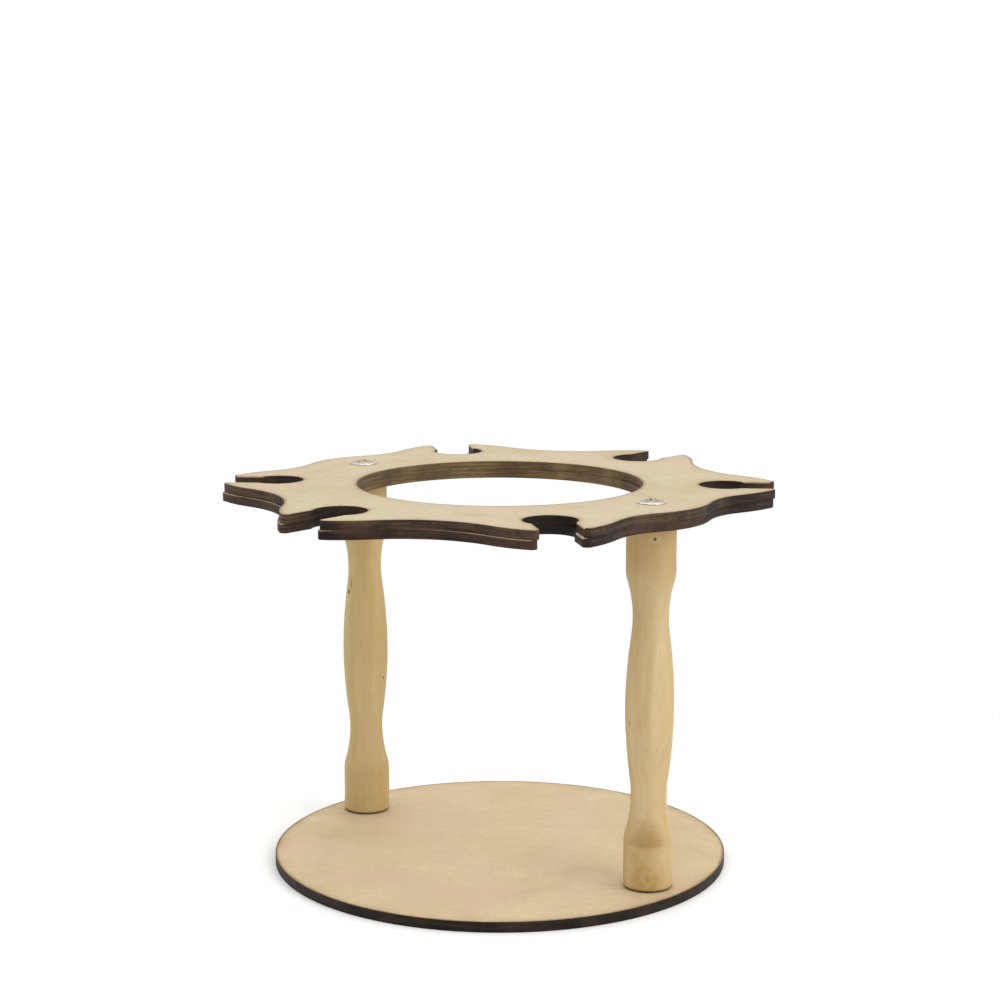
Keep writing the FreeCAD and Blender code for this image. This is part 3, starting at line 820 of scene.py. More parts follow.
    def material(self, ends: Tuple[float, float], radius_at: Callable[[float], float]) -> bpy.types.Material:
        """Build the material.

        Args:
            ends: Heights where the straight foot ends and the straight collar begins.
            radius_at: The post's radius at a height, where its marks lie.

        Returns:
            The finished material.
        """
        material, graph, shader = start_material(self.name)
        place = graph.add("TexCoord").outputs["Object"]
        grown = graph.turned(place, (1.0, 1.0, 1.0), self.turn)
        grain = TURNED_GRAIN.place(graph, Vector=grown)
        hands = HANDLING.place(graph, Vector=place, Size=70.0)
        blotch = graph.ease(graph.cloud(place, 120.0, 3.0, 0.6), 0.30, 0.70, 0.65, 1.0)
        colour = self.wood(graph, grain, grown)
        colour = self.stain(graph, place, ends, radius_at, colour, blotch)
        colour = self.mark(graph, place, radius_at, colour)
        colour = graph.lay(self.smudge, colour, hands["Smudge"], self.smudge_share)
        height = graph.add("SeparateXYZ", Vector=place).outputs["Z"]
        # Darker towards the foot's lower edge: soiled end grain and a painted contact shadow where the post
        # meets the base.
        soil_and_contact_shade = graph.ease(graph.sum("MULTIPLY_ADD", blotch, 0.5 * MM, height), self.soil_and_contact_shade_height, 0.9 * MM)
        graph.feed(shader.inputs["Base Color"], graph.lay(self.soil_and_contact_shade, colour, soil_and_contact_shade, self.soil_and_contact_shade_share))
        rough = graph.sum("MULTIPLY_ADD", hands["Smudge"], -0.10, self.roughness)
        graph.feed(shader.inputs["Roughness"], graph.sum("MULTIPLY_ADD", grain["Pores"], 0.12, rough))
        graph.feed(shader.inputs["Normal"], graph.bump(grain["Height"], self.grain_depth, 0.45))
        shader.inputs["Specular IOR Level"].default_value = 0.3
        return material


@dataclass(frozen=True)
class PlatedSteelFinish:
    """Plated steel with rings from its making: bright at the rim, and inside it painted reflections of the
    board around it, yellowish and then darker in the middle.
    """

    name: str
    bright: Colour
    painted_board_reflection: Colour
    painted_dim_reflection_and_smudge: Colour
    rim: float = 4.85 * MM
    middle: float = 3.0 * MM

    def material(self) -> bpy.types.Material:
        """Build the material.

        Returns:
            The finished material.
        """
        material, graph, shader = start_material(self.name)
        place = graph.add("TexCoord").outputs["Object"]
        hands = HANDLING.place(graph, Vector=place, Size=700.0)
        parts = graph.add("SeparateXYZ", Vector=place)
        away = graph.sum("SQRT", graph.sum("MULTIPLY_ADD", parts.outputs["X"], parts.outputs["X"],
                                           graph.sum("MULTIPLY", parts.outputs["Y"], parts.outputs["Y"])))
        turned = graph.add("CombineXYZ", X=away, Z=parts.outputs["Z"])
        rings = graph.cloud(turned.outputs[0], 5200.0, 2.0, 0.6)
        # Painted reflection: yellowish inside the rim and darker in the middle, as the board around the head
        # shows in it.
        colour = graph.mix(graph.ease(away, self.rim, self.rim - 0.15 * MM), self.bright, self.painted_board_reflection)
        colour = graph.mix(graph.ease(away, self.middle, self.middle - 0.4 * MM), colour, self.painted_dim_reflection_and_smudge)
        graph.feed(shader.inputs["Base Color"], graph.lay(self.painted_dim_reflection_and_smudge, colour, hands["Smudge"], 0.25))
        dulled = graph.ease(away, self.middle, self.middle - 0.4 * MM, 0.20, 0.46)
        rough = graph.sum("MULTIPLY_ADD", hands["Smudge"], 0.14, dulled)
        graph.feed(shader.inputs["Roughness"], graph.sum("MULTIPLY_ADD", rings, 0.10, rough))
        graph.feed(shader.inputs["Normal"], graph.bump(rings, 0.01 * MM, 0.25))
        shader.inputs["Metallic"].default_value = 1.0
        return material


@dataclass(frozen=True)
class FloorFinish:
    """A plain pale studio floor that fades into the white of the room."""

    name: str
    pale: Colour
    deep: Colour
    far_glow: Colour = (0.72, 0.72, 0.72, 1.0)
    fade: Tuple[float, float] = (0.09, 0.34)

    def material(self) -> bpy.types.Material:
        """Build the material.

        Returns:
            The finished material.
        """
        material, graph, shader = start_material(self.name)
        place = graph.add("TexCoord").outputs["Object"]
        away = graph.add("VectorMath", {"operation": "LENGTH"}, Vector=place).outputs["Value"]
        far = graph.ease(away, *self.fade)
        colour = graph.mix(graph.cloud(place, 3.0, 2.0), self.deep, self.pale)
        graph.feed(shader.inputs["Base Color"], graph.mix(far, colour, BLACK))
        seen = graph.add("LightPath").outputs["Is Camera Ray"]
        glow = graph.mix(seen, self.far_glow, WHITE)
        graph.feed(shader.inputs["Emission Color"], graph.mix(far, BLACK, glow))
        shader.inputs["Emission Strength"].default_value = 1.0
        shader.inputs["Roughness"].default_value = 1.0
        shader.inputs["Specular IOR Level"].default_value = 0.0
        return material


class Outline:
    """A closed line seen from above, with the board on its left."""

    def __init__(self, points: Sequence[Sequence[float]]) -> None:
        """Take the points in order.

        Args:
            points: Points in plan, the last one joined to the first.
        """
        self.points = [Vector((p[0], p[1])) for p in points]

    @classmethod
    def circle(cls, radius: float, count: int, centre: Tuple[float, float] = (0.0, 0.0),
               hole: bool = False) -> "Outline":
        """Draw a round outline.

        Args:
            radius: Its radius.
            count: How many points it has.
            centre: Its middle.
            hole: Whether the board lies outside it.

        Returns:
            The outline.
        """
        way = -1 if hole else 1
        angles = [way * 2 * math.pi * step / count for step in range(count)]
        return cls([(centre[0] + radius * math.cos(a), centre[1] + radius * math.sin(a)) for a in angles])

    @property
    def area(self) -> float:
        """Signed area, above 0 where it runs counter-clockwise."""
        ahead = self.points[1:] + self.points[:1]
        return sum(p.x * q.y - q.x * p.y for p, q in zip(self.points, ahead)) / 2

    def finer(self, step: float) -> "Outline":
        """Divide its long stretches.

        Args:
            step: The longest stretch that stays.

        Returns:
            The same line with more points.
        """
        points: List[Vector] = []
        for point, after in zip(self.points, self.points[1:] + self.points[:1]):
            count = max(1, math.ceil((after - point).length / step))
            points += [point.lerp(after, part / count) for part in range(count)]
        return Outline(points)

    def inward(self) -> List[Vector]:
        """Find the way into the board at every point.

        Returns:
            Vectors that move both stretches beside a point by 1.
        """
        behind = self.points[-1:] + self.points[:-1]
        ahead = self.points[1:] + self.points[:1]
        ways = []
        for before, point, after in zip(behind, self.points, ahead):
            first = (point - before).normalized()
            second = (after - point).normalized()
            into = Vector((-first.y - second.y, first.x + second.x)).normalized()
            ways.append(into / max(0.4, -into.x * first.y + into.y * first.x))
        return ways

    def inset(self, distance: float) -> List[Vector]:
        """Move every point into the board.

        Args:
            distance: How far.

        Returns:
            The moved points, in the same order.
        """
        return [point + way * distance for point, way in zip(self.points, self.inward())]

    def along(self) -> List[float]:
        """Measure how far each point lies along the line.

        Returns:
            The way from the first point to each one, and then the whole length.
        """
        ahead = self.points[1:] + self.points[:1]
        runs = [0.0]
        for point, after in zip(self.points, ahead):
            runs.append(runs[-1] + (after - point).length)
        return runs

    @classmethod
    def of_board(cls, node: bpy.types.Object) -> List["Outline"]:
        """Read the outlines of a flat board from its solid.

        Args:
            node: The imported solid.

        Returns:
            The outer outline first, then those of the holes.
        """
        mesh = bmesh.new()
        mesh.from_mesh(node.data)
        bmesh.ops.remove_doubles(mesh, verts=mesh.verts, dist=1e-6)
        mesh.normal_update()
        top = max(vertex.co.z for vertex in mesh.verts) - 1e-5
        ways: Dict[int, int] = {}
        for face in mesh.faces:
            if face.normal.z < 0.9:
                continue
            for loop in face.loops:
                others = [other for other in loop.edge.link_faces if other is not face]
                if loop.vert.co.z > top and all(other.normal.z < 0.9 for other in others):
                    ways[loop.vert.index] = loop.link_loop_next.vert.index
        mesh.verts.ensure_lookup_table()
        outlines = []
        while ways:
            start, at = next(iter(ways.items()))
            points = [mesh.verts[start].co.copy()]
            del ways[start]
            while at != start:
                points.append(mesh.verts[at].co.copy())
                at = ways.pop(at)
            outlines.append(cls(points))
        mesh.free()
        return sorted(outlines, key=lambda outline: -outline.area)


class Skin:
    """Points and faces of one piece while it is built."""

    def __init__(self) -> None:
        """Start with nothing."""
        self.points: List[Tuple[float, float, float]] = []
        self.from_cut: List[float] = []
        self.soot: Dict[int, float] = {}
        self.faces: List[Tuple[int, ...]] = []
        self.places: List[Tuple[Tuple[float, float], ...]] = []

    def ring(self, plan: Sequence[Vector], height: float, from_cut: float = FAR_FROM_CUT) -> List[int]:
        """Add a ring of points at one height.

        Args:
            plan: Where they are in plan.
            height: Their height.
            from_cut: How far they are from a burnt cut, in millimetres.

        Returns:
            The new points' numbers.
        """
        first = len(self.points)
        self.points += [(point[0], point[1], height) for point in plan]
        self.from_cut += [from_cut] * len(plan)
        return list(range(first, first + len(plan)))

    def band(self, upper: Sequence[int], lower: Sequence[int], along: Optional[Sequence[float]] = None,
             rise: Tuple[float, float] = (0.0, 0.0)) -> None:
        """Join two rings of as many points, facing right of their way.

        Args:
            upper: The upper ring.
            lower: The lower ring.
            along: How far each point lies along its ring, with the whole length last.
            rise: Height of the upper and lower ring on the unrolled wall.
        """
        count = len(upper)
        runs = along or [float(step) / count for step in range(count + 1)]
        for step in range(count):
            after = (step + 1) % count
            self.faces.append((upper[step], lower[step], lower[after], upper[after]))
            self.places.append(((runs[step], rise[0]), (runs[step], rise[1]),
                                (runs[step + 1], rise[1]), (runs[step + 1], rise[0])))

    def scatter(self, rings: Sequence[Sequence[int]], gap: float) -> List[int]:
        """Add points all over a flat face, each with its distance from the nearest cut.

        Args:
            rings: The outer ring and the rings of the holes, with the board on their left.
            gap: Distance between the new points.

        Returns:
            The new points' numbers.
        """
        outlines = [Outline([self.points[number] for number in ring]) for ring in rings]
        edge = [(point, way, self.from_cut[number]) for ring, outline in zip(rings, outlines)
                for number, point, way in zip(ring, outline.points, outline.inward())]
        tree = KDTree(len(edge))
        for index, (point, _, _) in enumerate(edge):
            tree.insert((point.x, point.y, 0.0), index)
        tree.balance()
        height = self.points[rings[0][0]][2]
        reach = max(max(abs(point.x), abs(point.y)) for point in outlines[0].points)
        rows = math.ceil(reach / (gap * math.sqrt(0.75)))
        added = []
        for row in range(-rows, rows + 1):
            for column in range(-rows, rows + 1):
                place = Vector(((column + 0.5 * (row % 2)) * gap, row * gap * math.sqrt(0.75)))
                _, index, away = tree.find((place.x, place.y, 0.0))
                point, way, start = edge[index]
                if away > gap * 0.6 and (place - point).dot(way) > 0:
                    added += self.ring([place], height, min(FAR_FROM_CUT, start + away / MM))
        return added

    def fill(self, rings: Sequence[Sequence[int]], up: bool, gap: float) -> None:
        """Close a flat face between an outer ring and round holes in it.

        Args:
            rings: The outer ring first, then the holes.
            up: Whether the face looks up.
            gap: Distance between the points inside the face.
        """
        numbers = [number for ring in rings for number in ring]
        owner = [index for index, ring in enumerate(rings) for _ in ring]
        edges = []
        first = 0
        for ring in rings:
            edges += [(first + step, first + (step + 1) % len(ring)) for step in range(len(ring))]
            first += len(ring)
        inside = self.scatter(rings, gap)
        numbers += inside
        owner += [-1] * len(inside)
        plan = [Vector(self.points[number][:2]) for number in numbers]
        _, _, triangles, origins, _, _ = delaunay_2d_cdt(plan, edges, [], 1, 1e-9)
        for triangle in triangles:
            corners = [origins[corner][0] for corner in triangle]
            owners = {owner[corner] for corner in corners}
            if len(owners) == 1 and owners.pop() > 0:
                continue
            p, q, r = (plan[corner] for corner in corners)
            if ((q - p).cross(r - p) > 0) != up:
                corners.reverse()
            self.faces.append(tuple(numbers[corner] for corner in corners))
            self.places.append(tuple(tuple(plan[corner]) for corner in corners))

    def fan(self, ring: Sequence[int], centre: int, up: bool) -> None:
        """Close a ring onto one point.

        Args:
            ring: The ring, counter-clockwise from above.
            centre: The point.
            up: Whether the faces look up.
        """
        for step, number in enumerate(ring):
            after = ring[(step + 1) % len(ring)]
            face = (number, after, centre) if up else (after, number, centre)
            self.faces.append(face)
            self.places.append(tuple(self.points[corner][:2] for corner in face))

    def piece(self, name: str, material: bpy.types.Material) -> bpy.types.Object:
        """Turn the points and faces into an object.

        Args:
            name: The object's name.
            material: Its finish.

        Returns:
            The new object, in the scene.
        """
        mesh = bpy.data.meshes.new(name)
        mesh.from_pydata(self.points, [], self.faces)
        soot = [self.soot.get(number, 0.0) for number in range(len(self.points))]
        for title, values in (("from_cut", self.from_cut), ("soot", soot)):
            mesh.attributes.new(title, "FLOAT", "POINT").data.foreach_set("value", values)
        flat = [value for corners in self.places for place in corners for value in place]
        mesh.uv_layers.new(name="wall").data.foreach_set("uv", flat)
        mesh.polygons.foreach_set("use_smooth", [True] * len(mesh.polygons))
        mesh.materials.append(material)
        mesh.update()
        mesh.set_sharp_from_angle(angle=math.radians(50.0))
        made = bpy.data.objects.new(name, mesh)
        bpy.context.scene.collection.objects.link(made)
        return made


def settle(piece: bpy.types.Object, node: str) -> bpy.types.Object:
    """Let a piece stand for its solid and ride with the holder.

    Args:
        piece: The dressed piece.
        node: The solid that it stands for.

    Returns:
        The same piece.
    """
    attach(piece, "root")
    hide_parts(node)
    LOG.info("%s stands for %s with %d faces", piece.name, node, len(piece.data.polygons))
    return piece


@dataclass
class CutBoard:
    """What every cut board shares: its edge, from the face over the burnt wall to the other face."""

    edge_round: float = 0.18 * MM
    halo_reach: float = 1.25 * MM
    edge_step: float = 1.2 * MM
    face_gap: float = 2.2 * MM

    def edge_rows(self, thickness: float, soft: float, bare_and_highlit: float = 0.0, burnt: float = 0.0) -> List[Row]:
        """List the rows of points round a board's edge.

        Args:
            thickness: The board's thickness.
            soft: Rounding of the upper edge.
            bare_and_highlit: How much paler the upper edge is than a burnt one, as millimetres from the cut.
            burnt: How far the char reaches over the upper face, in metres.

        Returns:
            Inset, height over the underside and millimetres from the cut of each row, from the top.
        """
        reach = self.halo_reach
        share = 1 - math.sqrt(0.5)
        upper = [(reach, 0.0), (reach * 0.6, 0.0), (soft * 1.3, 0.0), (soft, 0.0),
                 (soft * share, soft * share), (0.0, soft)]
        rows = [(inset, thickness - depth, max(0.0, (inset - burnt) / MM) + bare_and_highlit) for inset, depth in upper]
        rows += [(0.0, thickness - soft - 0.1 * MM, 0.0), (0.0, thickness / 2, 0.0)]
        soft = self.edge_round
        lower = [(0.0, soft), (soft * share, soft * share), (soft, 0.0), (reach, 0.0)]
        return rows + [(inset, height, inset / MM) for inset, height in lower]

    def wrap(self, skin: Skin, outline: Outline, low: float, rows: Sequence[Row],
             bare_and_highlit: Optional[Sequence[Row]] = None, shares: Optional[Sequence[float]] = None,
             soots: Optional[Sequence[float]] = None) -> Tuple[List[int], List[int]]:
        """Build the edge along one outline.

        Args:
            skin: The piece's points and faces.
            outline: The outline.
            low: Height of the underside.
            rows: The rows of points round the edge.
            bare_and_highlit: Rows of a second profile that some points lean to.
            shares: How far each point leans to it, 0 to 1. Above that it is paler, below it burnt.
            soots: How thick the soot lies at each point, 0 to 1.

        Returns:
            The innermost rings of the top and of the bottom face.
        """
        along = outline.along()
        ways = outline.inward()
        shares = shares or [0.0] * len(ways)
        soots = soots or [0.0] * len(ways)
        rings = []
        for row, other in zip(rows, bare_and_highlit or rows):
            first = len(skin.points)
            for point, way, share, soot in zip(outline.points, ways, shares, soots):
                held = min(1.6, max(0.0, share))
                inset, height, from_cut = (a + (b - a) * part
                                           for a, b, part in zip(row, other, (held, held, share)))
                moved = point + way * inset
                skin.soot[len(skin.points)] = soot
                skin.points.append((moved.x, moved.y, low + height))
                skin.from_cut.append(from_cut)
            rings.append(list(range(first, first + len(ways))))
        rise = 0.0
        for step in range(len(rows) - 1):
            drop = math.hypot(rows[step + 1][0] - rows[step][0], rows[step + 1][1] - rows[step][1])
            skin.band(rings[step], rings[step + 1], along, (-rise, -rise - drop))
            rise += drop
        return rings[0], rings[-1]


@dataclass
class BaseDisc(CutBoard):
    """The round base: one cut board with a countersunk screw hole under each post."""

    segments: int = 360
    post_offset: float = 75.0 * MM
    hole_radius: float = 1.85 * MM
    seat_radius: float = 4.1 * MM
    seat_rim: float = 0.2 * MM
    seat_depth: float = 2.45 * MM
    finish: CutBoardFinish = CutBoardFinish(
        "base_fibreboard", pale=shade(211, 193, 157), deep=shade(201, 181, 142),
        warm=shade(208, 184, 152), smoke=shade(120, 88, 56), char_light=shade(50, 37, 23),
        char_dark=shade(11, 8, 5), inner_light=shade(44, 34, 24),
        inner_dark=shade(17, 14, 11), inner_radius=20.0 * MM)

    def build(self) -> bpy.types.Object:
        """Build and dress the base.

        Returns:
            The piece.
        """
        low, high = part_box("base_disc")
        thickness = high.z - low.z
        skin = Skin()
        rim = Outline.circle(high.x, self.segments)
        upper, lower = self.wrap(skin, rim, low.z, self.edge_rows(thickness, self.edge_round))
        tops, bottoms = [upper], [lower]
        for side in Side:
            mouth, seat = self.seat(skin, side.value * self.post_offset, low.z, thickness)
            tops.append(mouth)
            bottoms.append(seat)
        skin.fill(tops, True, self.face_gap)
        skin.fill(bottoms, False, self.face_gap)
        return settle(skin.piece("base_board", self.finish.material()), "base_disc")

    def seat(self, skin: Skin, offset: float, low: float, thickness: float) -> Tuple[List[int], List[int]]:
        """Build one countersunk screw hole.

        Args:
            skin: The base's points and faces.
            offset: Where it is along the X axis.
            low: Height of the underside.
            thickness: The base's thickness.

        Returns:
            The ring in the top face and the one in the underside.
        """
        rows = [(self.hole_radius, thickness), (self.hole_radius, self.seat_depth),
                (self.seat_radius, self.seat_rim), (self.seat_radius, 0.0)]
        rings = []
        for radius, height in rows:
            round_hole = Outline.circle(radius, 48, (offset, 0.0), hole=True)
            rings.append(skin.ring(round_hole.points, low + height))
        for above, below in zip(rings, rings[1:]):
            skin.band(above, below)
        return rings[0], rings[-1]


@dataclass
class CarrierPlate(CutBoard):
    """The plate of two cut layers with a wide round hole and six keyhole slots."""

    bare_round: float = 0.38 * MM
    bare_and_highlit_paleness: float = 0.34
    bare_share: float = 0.37
    mouth_highlight_share: float = 5.0
    end_share: float = -1.7
    slip: float = 0.65 * MM
    slip_direction: float = 221.0
    slots: Tuple[Tuple[float, float], ...] = ((37.0, 0.9), (90.0, 0.7), (143.0, 0.6), (-143.0, 0.4),
                                              (-90.0, 0.8), (-37.0, 1.0))
    slot_reach: float = 88.0 * MM
    round_end: float = 10.0 * MM
    horn_reach: float = 109.0 * MM
    slot_margin: float = 0.8 * MM
    horn_margin: float = 3.0 * MM
    tip_start: float = 7.0 * MM
    tip_length: float = 6.0 * MM
    patch_cells: float = 80.0
    patchiness: float = 0.8
    finish: CutBoardFinish = CutBoardFinish(
        "plate_upper_fibreboard", pale=shade(197, 184, 152), deep=shade(187, 171, 136),
        warm=shade(198, 178, 154), smoke=shade(146, 119, 96), char_light=shade(92, 71, 53),
        char_dark=shade(34, 25, 17), inner_light=shade(128, 106, 74), inner_dark=shade(78, 61, 39),
        spread=1.07)
    lower_light: Colour = shade(78, 57, 44)
    lower_dark: Colour = shade(28, 20, 15)

    def build(self) -> List[bpy.types.Object]:
        """Build and dress both layers.

        Returns:
            The lower and the upper layer.
        """
        redder = replace(self.finish, name="plate_lower_fibreboard", char_light=self.lower_light,
                         char_dark=self.lower_dark)
        finishes = {Layer.LOWER: redder, Layer.UPPER: self.finish}
        return [self.layer(layer, finishes[layer].material()) for layer in Layer]

    def in_slot(self, point: Vector) -> Optional[Tuple[float, float]]:
        """Find where in a slot a point of the outline lies.

        Args:
            point: The point in plan.

        Returns:
            How far along the slot's mouth it is, 0 on its round end and 1 at the horns, and how
            sooty the slot is. None outside the slots.
        """
        for angle, soot in self.slots:
            turn = math.radians(angle)
            along = point.x * math.cos(turn) + point.y * math.sin(turn)
            across = point.y * math.cos(turn) - point.x * math.sin(turn)
            if math.hypot(along - self.slot_reach, across) < self.round_end + self.slot_margin:
                return 0.0, soot
            if (abs(across) < self.round_end
                    and self.slot_reach < along < self.horn_reach - self.horn_margin):
                start = self.slot_reach + 0.6 * self.round_end
                return max(0.01, (along - start) / (self.horn_reach - start)), soot
        return None

    def pale_and_sooty_edges(self, outline: Outline, layer: Layer) -> Tuple[List[float], List[float]]:
        """Find where an edge is pale, partly as a painted highlight, and where soot lies thick on it.

        The lower layer's edge stands out from under the upper one on one side, and its unburnt edge is paler
        there. On both layers the mouths of the slots are much paler on that side, a painted highlight, and
        the slots' round ends are sooty.

        Args:
            outline: The layer's outline.
            layer: Which layer.

        Returns:
            Paleness of each point, above 1 at the painted highlight on the slots' mouths and below 0 where
            it is burnt, and soot, 0 to 1.
        """
        turn = math.radians(self.slip_direction)
        slipped = Vector((math.cos(turn), math.sin(turn)))
        bare_and_highlit, soot = [], []
        for point, way in zip(outline.points, outline.inward()):
            out = min(1.0, max(0.0, 0.3 - 1.1 * way.normalized().dot(slipped)))
            place = self.in_slot(point)
            cell = Vector((point.x * self.patch_cells, point.y * self.patch_cells, 4.2))
            patchy = 1.0 + self.patchiness * noise.noise(cell)
            tip = min(1.0, max(0.0, (point.length - self.horn_reach + self.tip_start) / self.tip_length))
            if place is not None and place[0] == 0.0:
                out = self.end_share if layer is Layer.LOWER else 0.0
            elif place is not None:
                # Painted highlight: the slots' mouths turn much paler on the side facing the slip.
                out *= self.mouth_highlight_share
            elif layer is Layer.LOWER:
                out *= self.bare_share * patchy * (1 - tip) + tip
            else:
                out = 0.0
            bare_and_highlit.append(out)
            soot.append(0.0 if place is None else place[1] * max(0.0, 1.0 - 1.2 * place[0]))
        return bare_and_highlit, soot

    def layer(self, layer: Layer, material: bpy.types.Material) -> bpy.types.Object:
        """Build one layer along the outlines of its solid.

        Args:
            layer: Which layer.
            material: Its finish.

        Returns:
            The piece.
        """
        low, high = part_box(layer.value)
        thickness = high.z - low.z
        burnt = self.edge_rows(thickness, self.edge_round)
        # Paler rounded edge: unburnt on the lower layer's ledge, and a painted highlight at the slots'
        # mouths.
        bare_and_highlit = self.edge_rows(thickness, self.bare_round, self.bare_and_highlit_paleness)
        covered = self.edge_rows(thickness, self.edge_round, burnt=self.slip)
        outer, *holes = [line.finer(self.edge_step) for line in Outline.of_board(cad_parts[layer.value])]
        skin = Skin()
        rings = [self.wrap(skin, outer, low.z, burnt, bare_and_highlit, *self.pale_and_sooty_edges(outer, layer))]
        inside = covered if layer is Layer.LOWER else burnt
        rings += [self.wrap(skin, hole, low.z, inside) for hole in holes]
        tops, bottoms = zip(*rings)
        skin.fill(tops, True, self.face_gap)
        skin.fill(bottoms, False, self.face_gap)
        return settle(skin.piece(layer.value + "_board", material), layer.value)


@dataclass
class TurnedPost:
    """A turned post: straight foot and collar, two coves and a soft swell between them."""

    side: Side
    finish: TurnedWoodFinish
    offset: float = 75.0 * MM
    length: float = 141.0 * MM
    end_radius: float = 9.4 * MM
    end_height: float = 18.0 * MM
    edge: float = 0.7 * MM
    shoulder_radius: float = 15.0 * MM
    neck_radius: float = 6.8 * MM
    neck_height: float = 36.0 * MM
    swell_radius: float = 9.2 * MM
    bore_radius: float = 1.85 * MM
    low_bore: float = 22.2 * MM
    high_bore: float = 24.0 * MM
    unevenness: float = 0.16 * MM
    segments: int = 112
    row_gap: float = 0.9 * MM

    def radius_at(self, height: float) -> float:
        """Find the radius of the plain profile.

        Args:
            height: Height over the foot.

        Returns:
            The radius there.
        """
        up = min(height, self.length - height)
        if up <= self.end_height:
            return self.end_radius - max(0.0, self.edge - up)
        drop = self.end_radius - self.neck_radius
        rise = self.neck_height - self.end_height
        cove = (rise * rise + drop * drop) / (2 * drop) - self.shoulder_radius
        belly = self.swell_radius - self.neck_radius
        half = self.length / 2 - self.neck_height
        bulge = (half * half + belly * belly) / (2 * belly) - cove
        if up < self.end_height + rise * self.shoulder_radius / (self.shoulder_radius + cove):
            across = math.sqrt(self.shoulder_radius ** 2 - (up - self.end_height) ** 2)
            return self.end_radius - self.shoulder_radius + across
        if up < self.neck_height + half * cove / (cove + bulge):
            return self.neck_radius + cove - math.sqrt(cove ** 2 - (up - self.neck_height) ** 2)
        return self.swell_radius - bulge + math.sqrt(bulge ** 2 - (self.length / 2 - up) ** 2)

    def hand_turned(self, height: float, angle: float) -> float:
        """Find how far the hand-turned surface leaves the plain profile.

        Args:
            height: Height over the foot.
            angle: Angle round the post.

        Returns:
            What is added to the radius.
        """
        seed = 3.7 * self.side.value
        broad = noise.noise(Vector((math.cos(angle) + seed, math.sin(angle), height * 38)))
        fine = noise.noise(Vector((seed, math.cos(angle) * 0.4, height * 240)))
        fade = min(1.0, height / (4 * MM), (self.length - height) / (4 * MM))
        return self.unevenness * fade * (broad + fine * 0.35)

    def heights(self) -> List[float]:
        """List the heights of the rows of points on the outside.

        Returns:
            The heights over the foot, from the lowest.
        """
        count = round((self.length - 2 * self.edge) / self.row_gap)
        step = (self.length - 2 * self.edge) / count
        return [0.0] + [self.edge + step * row for row in range(count + 1)] + [self.length]

    def row(self, skin: Skin, height: float, bored: bool) -> List[int]:
        """Add one round row of points.

        Args:
            skin: The post's points and faces.
            height: The row's height over the foot.
            bored: Whether it lies on the wall of a screw's hole and not on the outside.

        Returns:
            The new points' numbers.
        """
        plan = []
        for step in range(self.segments):
            angle = 2 * math.pi * step / self.segments
            radius = self.bore_radius if bored else self.radius_at(height) + self.hand_turned(height, angle)
            plan.append(Vector((radius * math.cos(angle), radius * math.sin(angle))))
        return skin.ring(plan, height)

    def build(self) -> bpy.types.Object:
        """Build and dress the post.

        Returns:
            The piece.
        """
        skin = Skin()
        rows = [self.row(skin, self.low_bore, True), self.row(skin, 0.0, True)]
        rows += [self.row(skin, height, False) for height in self.heights()]
        rows += [self.row(skin, self.length, True), self.row(skin, self.length - self.high_bore, True)]
        for below, above in zip(rows, rows[1:]):
            skin.band(above, below)
        ends = ((rows[0], self.low_bore, False), (rows[-1], self.length - self.high_bore, True))
        for row, height, up in ends:
            (centre,) = skin.ring([Vector((0.0, 0.0))], height)
            skin.fan(row, centre, up)
        node = "post_" + self.side.word
        straight = (self.end_height, self.length - self.end_height)
        piece = skin.piece("turned_" + node, self.finish.material(straight, self.radius_at))
        piece.location = (self.side.value * self.offset, 0.0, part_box(node)[0].z)
        return settle(piece, node)


